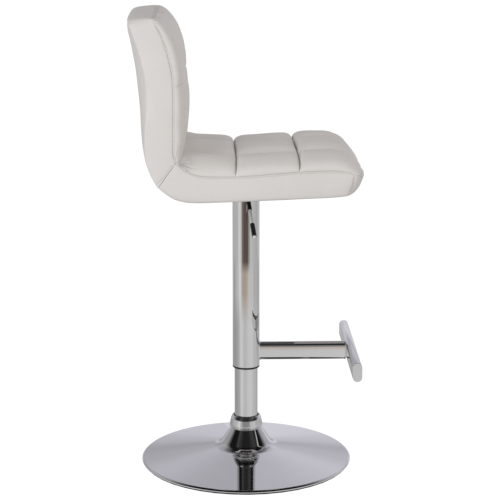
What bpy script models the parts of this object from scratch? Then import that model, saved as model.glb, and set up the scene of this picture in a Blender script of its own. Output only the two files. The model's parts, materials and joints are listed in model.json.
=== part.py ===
"""Adjustable swivel stool: a padded seat and back on a gas-lift column, with a footrest, over a trumpet base.

Metres, +Z up. The sitter faces -Y. The origin is on the column's axis, on the floor.
Blender: blender --background --python part.py
"""

import math

import bmesh
import bpy
from mathutils import Vector

# Clearances between solids that touch or run on each other.
GAP = 0.0003

# Base.
BASE_RADIUS = 0.2275
RIM_HEIGHT = 0.0095
SHEET = 0.0015
NECK_RADIUS = 0.0330
NECK_TOP = 0.0747
FLARE_RADIUS = 0.0590
FLARE_HEIGHT = 0.0345
FLARE_FILLET = 0.016
PAD_RADIUS = 0.2235
PAD_THICKNESS = 0.0025
SOCKET_RADIUS = 0.0308
COLLAR_BOTTOM = 0.0750
COLLAR_TOP = 0.1025
COLLAR_RADIUS = 0.0357

# Column.
STAND_RADIUS = 0.0250
STAND_WALL = 0.0018
STAND_BOTTOM = 0.0200
STAND_TOP = 0.3700
STAND_TAPER_RADIUS = 0.0238
ROD_RADIUS = 0.0050
ROD_BOTTOM = 0.0130
ROD_TOP = 0.3400
PISTON_BOTTOM = 0.3140
CYLINDER_RADIUS = 0.0140
CYLINDER_WALL = 0.0012
CYLINDER_BOTTOM = 0.1500
CYLINDER_TOP = 0.5900
BEARING_BOTTOM = 0.0238
BALL_RADIUS = 0.0022
BALL_CIRCLE = 0.0098
BALL_COUNT = 8

# Sleeve and footrest.
SLEEVE_RADIUS = 0.0290
SLEEVE_INNER = 0.0277
SLEEVE_BOTTOM = 0.2145
SLEEVE_TOP = 0.5860
OVAL_HEIGHT = 0.0400
OVAL_WIDTH = 0.0200
TUBE_WALL = 0.0015
FOOTREST_HEIGHT = 0.2460
FOOTREST_REACH = 0.2260
FOOTREST_HALF_SPAN = 0.1720
CAP_THICKNESS = 0.0030
CAP_PLUG = 0.0120

# Mechanism under the seat.
PAN_HALF_X = 0.0450
PAN_HALF_Y = 0.0325
PAN_BOTTOM = 0.0005 + SLEEVE_TOP
PAN_TOP = 0.6155
PAN_WALL = 0.0025
PLATE_BOTTOM = PAN_TOP + GAP
PLATE_THICKNESS = 0.0030
PLATE_HALF_X = 0.0750
PLATE_HALF_Y = 0.0950
BOLT_X = 0.0600
BOLT_Y = 0.0750
BOLT_RADIUS = 0.0030
BOLT_HEAD_RADIUS = 0.0058
HOLE_RADIUS = 0.0036
LEVER_PIVOT = Vector((-0.0250, 0.0, 0.6085))
LEVER_ROD_RADIUS = 0.0036
LEVER_ROD_HEIGHT = 0.6012
VALVE_PIN_RADIUS = 0.0030
VALVE_PIN_TOP = 0.5971

# Seat and back. Side outlines are (y, z, fillet radius).
SEAT_HALF_WIDTH = 0.1950
SHELL_THICKNESS = 0.0120
SHELL_BOTTOM = 0.6212
SHELL_HALF_WIDTH = 0.1650
SHELL_BEND = 0.0800
SHELL_FRONT_Y = -0.1500
COVER_HALF_X = 0.1330
COVER_HALF_Y = 0.1230
COVER_BOTTOM = PLATE_BOTTOM + PLATE_THICKNESS + GAP
COVER_THICKNESS = 0.0013
CREASE = (0.1290, 0.6965)
MITRE = (0.1797, 0.6408)
SEAT_OUTLINE = [
    (CREASE[0] - 0.0003, CREASE[1] + 0.0003, 0.0),
    (-0.1600, 0.7075, 0.060),
    (-0.2280, 0.6960, 0.035),
    (-0.2500, 0.6670, 0.012),
    (-0.2075, 0.6245, 0.040),
    (0.0000, 0.6100, 0.300),
    (0.1200, 0.6120, 0.030),
    (MITRE[0] - 0.0003, MITRE[1] - 0.0004, 0.0),
]
BACK_OUTLINE = [
    (CREASE[0], CREASE[1] + 0.0006, 0.0),
    (MITRE[0], MITRE[1] + 0.0002, 0.0),
    (0.2130, 0.6570, 0.018),
    (0.2270, 0.8200, 0.300),
    (0.2510, 0.9850, 0.026),
    (0.1560, 0.9920, 0.050),
    (0.1240, 0.8300, 0.200),
]
SIDE_ROUNDING = 0.009


def clear_scene():
    for old in list(bpy.data.objects):
        bpy.data.objects.remove(old, do_unlink=True)


def finish_material(name, color, roughness, metallic=0.0):
    """A Principled material, made once for each name."""
    found = bpy.data.materials.get(name)
    if found:
        return found
    made = bpy.data.materials.new(name)
    made.use_nodes = True
    shader = made.node_tree.nodes["Principled BSDF"]
    shader.inputs["Base Color"].default_value = (*color, 1.0)
    shader.inputs["Roughness"].default_value = roughness
    shader.inputs["Metallic"].default_value = metallic
    return made


def chrome():
    return finish_material("chrome", (0.80, 0.80, 0.82), 0.06, 1.0)


def steel():
    return finish_material("steel", (0.55, 0.55, 0.56), 0.35, 1.0)


def black_steel():
    return finish_material("black_steel", (0.03, 0.03, 0.03), 0.45, 0.0)


def iron():
    return finish_material("iron", (0.10, 0.10, 0.10), 0.70, 0.6)


def black_plastic():
    return finish_material("black_plastic", (0.02, 0.02, 0.02), 0.35)


def grey_plastic():
    return finish_material("grey_plastic", (0.74, 0.74, 0.76), 0.40)


def leather():
    return finish_material("leather", (0.86, 0.84, 0.81), 0.45)


def plywood():
    return finish_material("plywood", (0.72, 0.55, 0.36), 0.60)


def dust_cloth():
    return finish_material("dust_cloth", (0.04, 0.04, 0.04), 0.90)


def brass():
    return finish_material("brass", (0.72, 0.55, 0.28), 0.30, 1.0)


def joint_empty(name, place, parent=None):
    empty = bpy.data.objects.new(name, None)
    empty.empty_display_size = 0.03
    empty.location = place
    empty.parent = parent
    bpy.context.scene.collection.objects.link(empty)
    return empty


def solid(name, mesh_builder, material, parent, smooth_angle=35.0):
    """An object from a bmesh, its normals out and its round faces smooth."""
    bmesh.ops.recalc_face_normals(mesh_builder, faces=mesh_builder.faces)
    mesh = bpy.data.meshes.new(name)
    mesh_builder.to_mesh(mesh)
    mesh_builder.free()
    mesh.shade_smooth()
    mesh.set_sharp_from_angle(angle=math.radians(smooth_angle))
    mesh.materials.append(material)
    made = bpy.data.objects.new(name, mesh)
    made.parent = parent
    bpy.context.scene.collection.objects.link(made)
    return made


def cutter(made):
    made.hide_render = True
    made.display_type = "WIRE"
    return made


def boolean(target, other, operation="DIFFERENCE"):
    modifier = target.modifiers.new(other.name, "BOOLEAN")
    modifier.operation = operation
    modifier.object = other
    modifier.solver = "EXACT"
    cutter(other)


def filleted(corners, closed=True, step_degrees=15.0):
    """The outline through (a, b, radius) corners, each rounded by an arc of that radius."""
    count = len(corners)
    points = []
    for index, (a, b, radius) in enumerate(corners):
        here = Vector((a, b))
        at_end = not closed and index in (0, count - 1)
        if at_end or radius <= 0.0:
            points.append(here)
            continue
        back = Vector(corners[index - 1][:2]) - here
        ahead = Vector(corners[(index + 1) % count][:2]) - here
        half = back.angle(ahead) / 2
        reach = min(radius / math.tan(half), 0.48 * back.length, 0.48 * ahead.length)
        true_radius = reach * math.tan(half)
        centre = here + (back.normalized() + ahead.normalized()).normalized() * (true_radius / math.sin(half))
        start = here + back.normalized() * reach - centre
        turn = math.pi - 2 * half
        side = 1.0 if back.cross(ahead) < 0 else -1.0
        steps = max(1, round(math.degrees(turn) / step_degrees))
        for step in range(steps + 1):
            angle = side * turn * step / steps
            c, s = math.cos(angle), math.sin(angle)
            points.append(centre + Vector((start.x * c - start.y * s, start.x * s + start.y * c)))
    return points


def arc(centre_a, centre_b, radius, first, last, steps):
    """Points of an arc, its angles in degrees."""
    angles = [math.radians(first + (last - first) * i / steps) for i in range(steps + 1)]
    return [(centre_a + radius * math.cos(t), centre_b + radius * math.sin(t)) for t in angles]


def turned(name, profile, material, parent, segments=32, centre=(0.0, 0.0)):
    """A closed solid of revolution about Z from a closed (radius, z) profile."""
    builder = bmesh.new()
    rings = []
    for radius, z in profile:
        if radius < 1e-9:
            rings.append([builder.verts.new((centre[0], centre[1], z))])
            continue
        ring = []
        for i in range(segments):
            turn = 2 * math.pi * i / segments
            ring.append(
                builder.verts.new((centre[0] + radius * math.cos(turn), centre[1] + radius * math.sin(turn), z))
            )
        rings.append(ring)
    for ring, following in zip(rings, rings[1:] + rings[:1]):
        if len(ring) == 1 and len(following) == 1:
            continue
        for i in range(segments):
            j = (i + 1) % segments
            corners = [ring[i % len(ring)], ring[j % len(ring)]]
            corners += [following[j % len(following)], following[i % len(following)]]
            builder.faces.new(list(dict.fromkeys(corners)))
    return solid(name, builder, material, parent)


def ring_profile(inner, outer, bottom, top):
    return [(inner, bottom), (outer, bottom), (outer, top), (inner, top)]


def disc_profile(radius, bottom, top):
    return [(0.0, bottom), (radius, bottom), (radius, top), (0.0, top)]


def loops_solid(name, loops, material, parent, closed_ring=False, smooth_angle=35.0):
    """A solid from equal loops of points, joined in turn: capped at both ends, or joined round to the first."""
    builder = bmesh.new()
    made = [[builder.verts.new(point) for point in loop] for loop in loops]
    pairs = list(zip(made, made[1:]))
    if closed_ring:
        pairs.append((made[-1], made[0]))
    for one, other in pairs:
        count = len(one)
        for i in range(count):
            j = (i + 1) % count
            builder.faces.new([one[i], one[j], other[j], other[i]])
    if not closed_ring:
        builder.faces.new(made[0])
        builder.faces.new(made[-1])
    return solid(name, builder, material, parent, smooth_angle)


def box(name, low, high, material, parent):
    (x0, y0, z0), (x1, y1, z1) = low, high
    loop = [(x0, y0), (x1, y0), (x1, y1), (x0, y1)]
    loops = [[(x, y, z) for x, y in loop] for z in (z0, z1)]
    return loops_solid(name, loops, material, parent)


def flat_oval(width, height, steps=8):
    """A stadium outline, upright: two half circles joined by straight sides."""
    radius = width / 2
    straight = height / 2 - radius
    return arc(0.0, straight, radius, 0, 180, steps) + arc(0.0, -straight, radius, 180, 360, steps)


def build_base(base):
    slope = (FLARE_HEIGHT - RIM_HEIGHT) / (BASE_RADIUS - FLARE_RADIUS)
    rim_roll = 0.0032
    top_line = [
        (NECK_RADIUS, NECK_TOP, 0.0),
        (FLARE_RADIUS, FLARE_HEIGHT, FLARE_FILLET),
        (BASE_RADIUS - rim_roll, RIM_HEIGHT + slope * rim_roll, 0.0),
    ]
    outer = [tuple(point) for point in filleted(top_line, closed=False, step_degrees=14)]
    rim = arc(BASE_RADIUS - rim_roll, RIM_HEIGHT - rim_roll, rim_roll, 80, -90, 4)
    under_line = [
        (BASE_RADIUS - rim_roll - SHEET, RIM_HEIGHT - 2 * rim_roll, 0.0),
        (BASE_RADIUS - rim_roll - SHEET, RIM_HEIGHT - SHEET, 0.0),
        (FLARE_RADIUS - SHEET * 0.6, FLARE_HEIGHT - SHEET, FLARE_FILLET + SHEET),
        (NECK_RADIUS - SHEET, NECK_TOP, 0.0),
    ]
    inner = [tuple(point) for point in filleted(under_line, closed=False, step_degrees=14)]
    turned("base_dome", outer + rim + inner, chrome(), base, 48)

    turned("floor_pad", disc_profile(PAD_RADIUS, 0.0, PAD_THICKNESS), black_plastic(), base, 40)

    iron_bottom = PAD_THICKNESS + GAP
    iron_inner, iron_outer = 0.0450, 0.2150
    iron_shoulder = 0.0640
    under_clearance = SHEET + 0.0012

    def sheet_height(radius):
        return RIM_HEIGHT + slope * (BASE_RADIUS - radius)

    turned(
        "ballast_plate",
        [
            (iron_inner, iron_bottom),
            (iron_outer, iron_bottom),
            (iron_outer, sheet_height(iron_outer) - under_clearance),
            (iron_shoulder, sheet_height(iron_shoulder) - under_clearance),
            (iron_inner, sheet_height(iron_shoulder) - under_clearance),
        ],
        iron(),
        base,
    )

    flange_top = 0.0068
    turned(
        "socket_flange",
        ring_profile(SOCKET_RADIUS + GAP, iron_inner - GAP, iron_bottom, flange_top),
        steel(),
        base,
    )
    turned(
        "base_socket",
        [
            (STAND_TAPER_RADIUS - 0.004, iron_bottom),
            (SOCKET_RADIUS, iron_bottom),
            (SOCKET_RADIUS, NECK_TOP - 0.0040),
            (STAND_RADIUS + GAP, NECK_TOP - 0.0040),
            (STAND_TAPER_RADIUS + GAP, STAND_BOTTOM - GAP),
            (STAND_TAPER_RADIUS - 0.004, STAND_BOTTOM - GAP),
        ],
        steel(),
        base,
    )

    collar_inner = STAND_RADIUS + GAP
    lip = 0.0030
    turned(
        "neck_collar",
        [
            (collar_inner, COLLAR_BOTTOM + 0.0004),
            (NECK_RADIUS + 0.0012, COLLAR_BOTTOM),
            (COLLAR_RADIUS, COLLAR_BOTTOM + 0.0022),
            (COLLAR_RADIUS + 0.0001, COLLAR_BOTTOM + 0.0060),
            (COLLAR_RADIUS - 0.0012, COLLAR_BOTTOM + 0.0150),
            (COLLAR_RADIUS - 0.0034, COLLAR_TOP - 0.0050),
            (COLLAR_RADIUS - 0.0056, COLLAR_TOP - 0.0008),
            (COLLAR_RADIUS - 0.0068, COLLAR_TOP),
            (collar_inner + lip * 0.4, COLLAR_TOP - 0.0016),
            (collar_inner, COLLAR_TOP - lip),
        ],
        chrome(),
        base,
        40,
    )


def build_stand(base):
    """The fixed stand tube in the base, its guide bush and its end plate with the thrust bearing."""
    taper_top = 0.0720
    inner = STAND_RADIUS - STAND_WALL
    inner_taper = STAND_TAPER_RADIUS - STAND_WALL
    turned(
        "stand_tube",
        [
            (inner_taper, STAND_BOTTOM),
            (STAND_TAPER_RADIUS, STAND_BOTTOM),
            (STAND_RADIUS, taper_top),
            (STAND_RADIUS, STAND_TOP - 0.0005),
            (STAND_RADIUS - 0.0005, STAND_TOP),
            (inner, STAND_TOP),
            (inner, taper_top),
        ],
        chrome(),
        base,
    )
    plate_top = BEARING_BOTTOM - GAP
    plate_inner = ROD_RADIUS + 0.0008
    turned(
        "tube_end_plate",
        ring_profile(plate_inner, inner_taper - GAP, STAND_BOTTOM + 0.0003, plate_top),
        steel(),
        base,
    )
    bush_inner = CYLINDER_RADIUS + GAP
    bush_bottom = 0.2900
    flange_top = STAND_TOP + 0.0023
    turned(
        "guide_bush",
        [
            (bush_inner, bush_bottom),
            (inner - GAP, bush_bottom),
            (inner - GAP, STAND_TOP + GAP),
            (STAND_RADIUS - 0.0004, STAND_TOP + GAP),
            (STAND_RADIUS - 0.0004, flange_top),
            (bush_inner, flange_top),
        ],
        black_plastic(),
        base,
    )
    race_top = BEARING_BOTTOM + 0.0020
    turned("lower_race", ring_profile(plate_inner, 0.0135, BEARING_BOTTOM, race_top), steel(), base, 24)
    return race_top


def build_rod(rod, race_top):
    """The gas spring's rod with what is fixed to it. It turns in the thrust bearing."""
    ball_height = race_top + GAP + BALL_RADIUS
    upper_bottom = ball_height + BALL_RADIUS + GAP
    cage = turned(
        "ball_cage",
        ring_profile(BALL_CIRCLE - 0.0030, BALL_CIRCLE + 0.0030, ball_height - 0.0007, ball_height + 0.0007),
        steel(),
        rod,
        24,
    )
    for index in range(BALL_COUNT):
        turn = 2 * math.pi * index / BALL_COUNT
        builder = bmesh.new()
        bmesh.ops.create_uvsphere(builder, u_segments=8, v_segments=6, radius=BALL_RADIUS)
        place = (BALL_CIRCLE * math.cos(turn), BALL_CIRCLE * math.sin(turn), ball_height)
        bmesh.ops.translate(builder, vec=place, verts=builder.verts)
        boolean(cage, solid(f"ball_{index + 1}", builder, steel(), rod), "UNION")
    ring_inner = ROD_RADIUS + GAP
    upper_top = upper_bottom + 0.0020
    turned("upper_race", ring_profile(ring_inner, 0.0135, upper_bottom, upper_top), steel(), rod, 24)
    bumper_bottom = upper_top + GAP
    turned(
        "rubber_bumper",
        [
            (ring_inner, bumper_bottom),
            (0.0125, bumper_bottom),
            (0.0125, bumper_bottom + 0.0070),
            (0.0105, bumper_bottom + 0.0100),
            (ring_inner, bumper_bottom + 0.0100),
        ],
        black_plastic(),
        rod,
        24,
    )
    clip_bottom = 0.0172
    turned("retaining_clip", ring_profile(ring_inner, 0.0095, clip_bottom, clip_bottom + 0.0016), steel(), rod, 24)
    chamfer = 0.0008
    turned(
        "piston_rod",
        [
            (0.0, ROD_BOTTOM),
            (ROD_RADIUS - chamfer, ROD_BOTTOM),
            (ROD_RADIUS, ROD_BOTTOM + chamfer),
            (ROD_RADIUS, ROD_TOP - chamfer),
            (ROD_RADIUS - chamfer, ROD_TOP),
            (0.0, ROD_TOP),
        ],
        chrome(),
        rod,
        24,
    )
    piston_radius = CYLINDER_RADIUS - CYLINDER_WALL - 2 * GAP
    piston_top = PISTON_BOTTOM + 0.0170
    turned("piston", ring_profile(ring_inner, piston_radius, PISTON_BOTTOM, piston_top), steel(), rod, 24)
    seal_bottom = piston_top + GAP
    turned(
        "piston_seal",
        ring_profile(ring_inner + 0.004, piston_radius + GAP / 2, seal_bottom, seal_bottom + 0.0025),
        black_plastic(),
        rod,
        24,
    )
    turned(
        "piston_nut",
        ring_profile(ring_inner, ring_inner + 0.0035, seal_bottom, seal_bottom + 0.0040),
        steel(),
        rod,
        24,
    )


def build_cylinder(carriage):
    """The gas cylinder that the seat stands on, with its end seal and its valve."""
    inner = CYLINDER_RADIUS - CYLINDER_WALL
    taper = 0.0008
    taper_bottom = 0.5450
    turned(
        "gas_cylinder",
        [
            (inner, CYLINDER_BOTTOM),
            (CYLINDER_RADIUS, CYLINDER_BOTTOM),
            (CYLINDER_RADIUS, taper_bottom),
            (CYLINDER_RADIUS - taper, CYLINDER_TOP),
            (inner - taper, CYLINDER_TOP),
            (inner - taper, taper_bottom),
            (inner, taper_bottom - 0.0040),
        ],
        black_steel(),
        carriage,
    )
    seal_top = CYLINDER_BOTTOM + 0.0200
    turned(
        "rod_seal",
        ring_profile(ROD_RADIUS + GAP, inner - GAP, CYLINDER_BOTTOM + 0.0010, seal_top),
        black_plastic(),
        carriage,
        24,
    )
    turned(
        "valve_body",
        ring_profile(VALVE_PIN_RADIUS + GAP, inner - taper - GAP, 0.5600, CYLINDER_TOP - 0.0015),
        steel(),
        carriage,
        24,
    )


def build_sleeve(carriage):
    turned(
        "column_sleeve",
        [
            (SLEEVE_INNER, SLEEVE_BOTTOM),
            (SLEEVE_RADIUS, SLEEVE_BOTTOM),
            (SLEEVE_RADIUS, SLEEVE_TOP),
            (SLEEVE_INNER, SLEEVE_TOP),
        ],
        chrome(),
        carriage,
    )
    bush_inner = STAND_RADIUS + GAP
    lip_bottom = SLEEVE_BOTTOM - 0.0040
    turned(
        "sleeve_bush",
        [
            (bush_inner, lip_bottom),
            (SLEEVE_RADIUS - 0.0006, lip_bottom),
            (SLEEVE_RADIUS, lip_bottom + 0.0006),
            (SLEEVE_RADIUS, SLEEVE_BOTTOM - GAP),
            (SLEEVE_INNER - GAP, SLEEVE_BOTTOM - GAP),
            (SLEEVE_INNER - GAP, SLEEVE_BOTTOM + 0.0200),
            (bush_inner, SLEEVE_BOTTOM + 0.0200),
        ],
        black_plastic(),
        carriage,
    )
    spacer_inner = 0.0192
    turned(
        "sleeve_spacer",
        ring_profile(spacer_inner, SLEEVE_INNER - GAP, SLEEVE_TOP - 0.0180, SLEEVE_TOP),
        black_plastic(),
        carriage,
    )


def build_footrest(carriage):
    """A flat-oval stem welded to the sleeve, a flat-oval cross bar, and the bar's two end caps."""

    def oval_loop(width, height, place):
        return [place(a, b) for a, b in flat_oval(width, height)]

    inner_width, inner_height = OVAL_WIDTH - 2 * TUBE_WALL, OVAL_HEIGHT - 2 * TUBE_WALL
    stem_start = -0.0200
    stem_end = -(FOOTREST_REACH - OVAL_WIDTH / 2 - GAP)

    def on_stem(y):
        return lambda a, b: (a, y, FOOTREST_HEIGHT + b)

    stem = loops_solid(
        "footrest_stem",
        [
            oval_loop(OVAL_WIDTH, OVAL_HEIGHT, on_stem(stem_start)),
            oval_loop(OVAL_WIDTH, OVAL_HEIGHT, on_stem(stem_end)),
            oval_loop(inner_width, inner_height, on_stem(stem_end)),
            oval_loop(inner_width, inner_height, on_stem(stem_start)),
        ],
        chrome(),
        carriage,
        closed_ring=True,
    )
    saddle = disc_profile(SLEEVE_RADIUS + GAP, FOOTREST_HEIGHT - OVAL_HEIGHT, FOOTREST_HEIGHT + OVAL_HEIGHT)
    boolean(stem, turned("stem_saddle_cutter", saddle, chrome(), carriage))

    def on_bar(x):
        return lambda a, b: (x, a - FOOTREST_REACH, FOOTREST_HEIGHT + b)

    ends = (-FOOTREST_HALF_SPAN, FOOTREST_HALF_SPAN)
    loops_solid(
        "footrest_bar",
        [
            oval_loop(OVAL_WIDTH, OVAL_HEIGHT, on_bar(ends[0])),
            oval_loop(OVAL_WIDTH, OVAL_HEIGHT, on_bar(ends[1])),
            oval_loop(inner_width, inner_height, on_bar(ends[1])),
            oval_loop(inner_width, inner_height, on_bar(ends[0])),
        ],
        chrome(),
        carriage,
        closed_ring=True,
    )
    plug_width, plug_height = inner_width - 2 * GAP, inner_height - 2 * GAP
    edge = 0.0006
    for name, side in (("bar_cap_right", -1.0), ("bar_cap_left", 1.0)):
        inside = side * (FOOTREST_HALF_SPAN + GAP)
        outside = side * (FOOTREST_HALF_SPAN + GAP + CAP_THICKNESS)
        plug_end = side * (FOOTREST_HALF_SPAN - CAP_PLUG)
        loops_solid(
            name,
            [
                oval_loop(plug_width, plug_height, on_bar(plug_end)),
                oval_loop(plug_width, plug_height, on_bar(inside)),
                oval_loop(OVAL_WIDTH, OVAL_HEIGHT, on_bar(inside)),
                oval_loop(OVAL_WIDTH, OVAL_HEIGHT, on_bar(outside - side * edge)),
                oval_loop(OVAL_WIDTH - 2 * edge, OVAL_HEIGHT - 2 * edge, on_bar(outside)),
            ],
            grey_plastic(),
            carriage,
        )


def bolt_places():
    return [(x, y) for x in (-BOLT_X, BOLT_X) for y in (-BOLT_Y, BOLT_Y)]


def cut_bolt_holes(target, radius, bottom, top, label):
    for index, place in enumerate(bolt_places()):
        hole = turned(f"{label}_{index + 1}", disc_profile(radius, bottom, top), steel(), target.parent, 16, place)
        boolean(target, hole)


def build_mechanism(carriage):
    """The pan that holds the lever and the tapered socket, and the plate that is bolted to the seat shell."""
    pan = box(
        "mechanism_pan",
        (-PAN_HALF_X, -PAN_HALF_Y, PAN_BOTTOM),
        (PAN_HALF_X, PAN_HALF_Y, PAN_TOP),
        black_steel(),
        carriage,
    )
    inner_x, inner_y = PAN_HALF_X - PAN_WALL, PAN_HALF_Y - PAN_WALL
    well = box(
        "pan_well_cutter",
        (-inner_x, -inner_y, PAN_BOTTOM + PAN_WALL),
        (inner_x, inner_y, PAN_TOP + 0.01),
        black_steel(),
        carriage,
    )
    socket_outer = 0.0186
    hole = disc_profile(socket_outer + GAP, PAN_BOTTOM - 0.01, PAN_BOTTOM + 0.01)
    slot_half = 0.0065
    slot = box(
        "lever_slot_cutter",
        (-PAN_HALF_X - 0.01, -slot_half, LEVER_ROD_HEIGHT - 0.0075),
        (-inner_x + 0.01, slot_half, PAN_TOP + 0.01),
        black_steel(),
        carriage,
    )
    boolean(pan, well)
    boolean(pan, turned("pan_hole_cutter", hole, steel(), carriage))
    boolean(pan, slot)

    pin_radius = 0.0020
    pin_half = PAN_HALF_Y - PAN_WALL - GAP

    def pin_loop(radius, y):
        ring = arc(LEVER_PIVOT.x, LEVER_PIVOT.z, radius, 0, 337.5, 15)
        return [(x, y, z) for x, z in ring]

    loops_solid(
        "lever_pivot_pin",
        [pin_loop(pin_radius, -pin_half), pin_loop(pin_radius, pin_half)],
        steel(),
        carriage,
    )

    turned(
        "taper_socket",
        [
            (CYLINDER_RADIUS + GAP, 0.5440),
            (socket_outer, 0.5440),
            (socket_outer, 0.5880),
            (CYLINDER_RADIUS + GAP - 0.0007, 0.5880),
        ],
        black_steel(),
        carriage,
    )

    plate = box(
        "seat_plate",
        (-PLATE_HALF_X, -PLATE_HALF_Y, PLATE_BOTTOM),
        (PLATE_HALF_X, PLATE_HALF_Y, PLATE_BOTTOM + PLATE_THICKNESS),
        black_steel(),
        carriage,
    )
    cut_bolt_holes(plate, HOLE_RADIUS, PLATE_BOTTOM - 0.01, PLATE_BOTTOM + 0.01, "plate_hole_cutter")


def build_fasteners(carriage):
    """Each corner has a hexagon bolt with a washer from below, and a T-nut let into the shell from above."""
    washer_top = PLATE_BOTTOM - GAP
    washer_bottom = washer_top - 0.0012
    head_top = washer_bottom - GAP
    head_bottom = head_top - 0.0045
    shell_top = SHELL_BOTTOM + SHELL_THICKNESS
    for index, place in enumerate(bolt_places()):
        number = index + 1
        turned(
            f"seat_bolt_{number}",
            [
                (0.0, head_bottom),
                (BOLT_HEAD_RADIUS, head_bottom),
                (BOLT_HEAD_RADIUS, head_top),
                (BOLT_RADIUS, head_top),
                (BOLT_RADIUS, shell_top + 0.0015),
                (0.0, shell_top + 0.0015),
            ],
            steel(),
            carriage,
            12,
            place,
        )
        washer = ring_profile(HOLE_RADIUS, 0.0075, washer_bottom, washer_top)
        turned(f"seat_washer_{number}", washer, steel(), carriage, 16, place)
        barrel_radius = 0.0045
        turned(
            f"seat_tnut_{number}",
            [
                (BOLT_RADIUS + GAP, SHELL_BOTTOM + 0.0020),
                (barrel_radius, SHELL_BOTTOM + 0.0020),
                (barrel_radius, shell_top + GAP),
                (0.0100, shell_top + GAP),
                (0.0100, shell_top + 0.0018),
                (BOLT_RADIUS + GAP, shell_top + 0.0018),
            ],
            steel(),
            carriage,
            16,
            place,
        )


def shell_outline(grow):
    """The side outline of the bent plywood shell, grown by a clearance."""
    middle = SHELL_BOTTOM + SHELL_THICKNESS / 2
    rise = Vector((0.2060, 0.9450)) - Vector((0.1830, middle))
    top = Vector((0.1830, middle)) + rise * (1 + grow / rise.length)
    path = filleted(
        [(SHELL_FRONT_Y - grow, middle, 0.0), (0.1830, middle, SHELL_BEND), (top.x, top.y, 0.0)],
        closed=False,
        step_degrees=12,
    )
    half = SHELL_THICKNESS / 2 + grow
    one_side, other_side = [], []
    for index, point in enumerate(path):
        before = path[max(index - 1, 0)]
        after = path[min(index + 1, len(path) - 1)]
        along = (after - before).normalized()
        across = Vector((-along.y, along.x)) * half
        one_side.append(point + across)
        other_side.append(point - across)
    return one_side + other_side[::-1]


def side_solid(name, outline, half_width, material, parent):
    """An outline in the (y, z) plane, carried across the width."""
    loops = [[(x, point[0], point[1]) for point in outline] for x in (-half_width, half_width)]
    return loops_solid(name, loops, material, parent)


def padded_solid(name, corners, material, parent):
    """A cushion: the side outline across the width, its two side edges rounded over."""
    outline = filleted(corners, step_degrees=14)
    middle = sum((Vector(point) for point in outline), Vector((0.0, 0.0))) / len(outline)
    stations = [
        (-SEAT_HALF_WIDTH, SIDE_ROUNDING * 0.9),
        (-SEAT_HALF_WIDTH + SIDE_ROUNDING * 0.3, SIDE_ROUNDING * 0.3),
        (-SEAT_HALF_WIDTH + SIDE_ROUNDING, 0.0),
        (SEAT_HALF_WIDTH - SIDE_ROUNDING, 0.0),
        (SEAT_HALF_WIDTH - SIDE_ROUNDING * 0.3, SIDE_ROUNDING * 0.3),
        (SEAT_HALF_WIDTH, SIDE_ROUNDING * 0.9),
    ]
    rings = []
    for x, inset in stations:
        ring = []
        for point in outline:
            towards = middle - point
            moved = point + towards.normalized() * min(inset, towards.length)
            ring.append((x, moved.x, moved.y))
        rings.append(ring)
    return loops_solid(name, rings, material, parent)


def build_upholstery(carriage):
    shell = side_solid("seat_shell", shell_outline(0.0), SHELL_HALF_WIDTH, plywood(), carriage)
    cut_bolt_holes(shell, 0.0045 + GAP, SHELL_BOTTOM - 0.01, SHELL_BOTTOM + 0.03, "shell_hole_cutter")

    cover = box(
        "dust_cover",
        (-COVER_HALF_X, -COVER_HALF_Y, COVER_BOTTOM),
        (COVER_HALF_X, COVER_HALF_Y, COVER_BOTTOM + COVER_THICKNESS),
        dust_cloth(),
        carriage,
    )
    cut_bolt_holes(cover, HOLE_RADIUS, COVER_BOTTOM - 0.01, COVER_BOTTOM + 0.01, "cover_hole_cutter")

    seat = padded_solid("seat_cushion", SEAT_OUTLINE, leather(), carriage)
    back = padded_solid("back_cushion", BACK_OUTLINE, leather(), carriage)
    clearance = 0.0004
    for target, label in ((seat, "seat"), (back, "back")):
        room = side_solid(
            f"{label}_shell_cutter",
            shell_outline(clearance),
            SHELL_HALF_WIDTH + clearance,
            plywood(),
            carriage,
        )
        boolean(target, room)
    opening = 0.0020
    window = box(
        "seat_window_cutter",
        (-COVER_HALF_X - opening, -COVER_HALF_Y - opening, 0.5900),
        (COVER_HALF_X + opening, COVER_HALF_Y + opening, SHELL_BOTTOM + 0.0010),
        dust_cloth(),
        carriage,
    )
    boolean(seat, window)
    nut_room_top = SHELL_BOTTOM + SHELL_THICKNESS + 0.0030
    cut_bolt_holes(seat, 0.0110, SHELL_BOTTOM + 0.0050, nut_room_top, "nut_room_cutter")


def sweep(name, path, radius, material, parent, sides=12, inner=0.0):
    """A round bar, or a tube when it has an inner radius, along a path in the plane that holds Z."""
    loops_out, loops_in = [], []
    for index, point in enumerate(path):
        before = path[max(index - 1, 0)]
        after = path[min(index + 1, len(path) - 1)]
        along = (after - before).normalized()
        across = along.cross(Vector((0.0, 1.0, 0.0))).normalized()
        other = along.cross(across).normalized()
        for loops, size in ((loops_out, radius), (loops_in, inner)):
            loop = []
            for step in range(sides):
                turn = 2 * math.pi * step / sides
                loop.append(point + across * (size * math.cos(turn)) + other * (size * math.sin(turn)))
            loops.append(loop)
    if inner > 0.0:
        return loops_solid(name, loops_out + loops_in[::-1], material, parent, closed_ring=True)
    return loops_solid(name, loops_out, material, parent)


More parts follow.
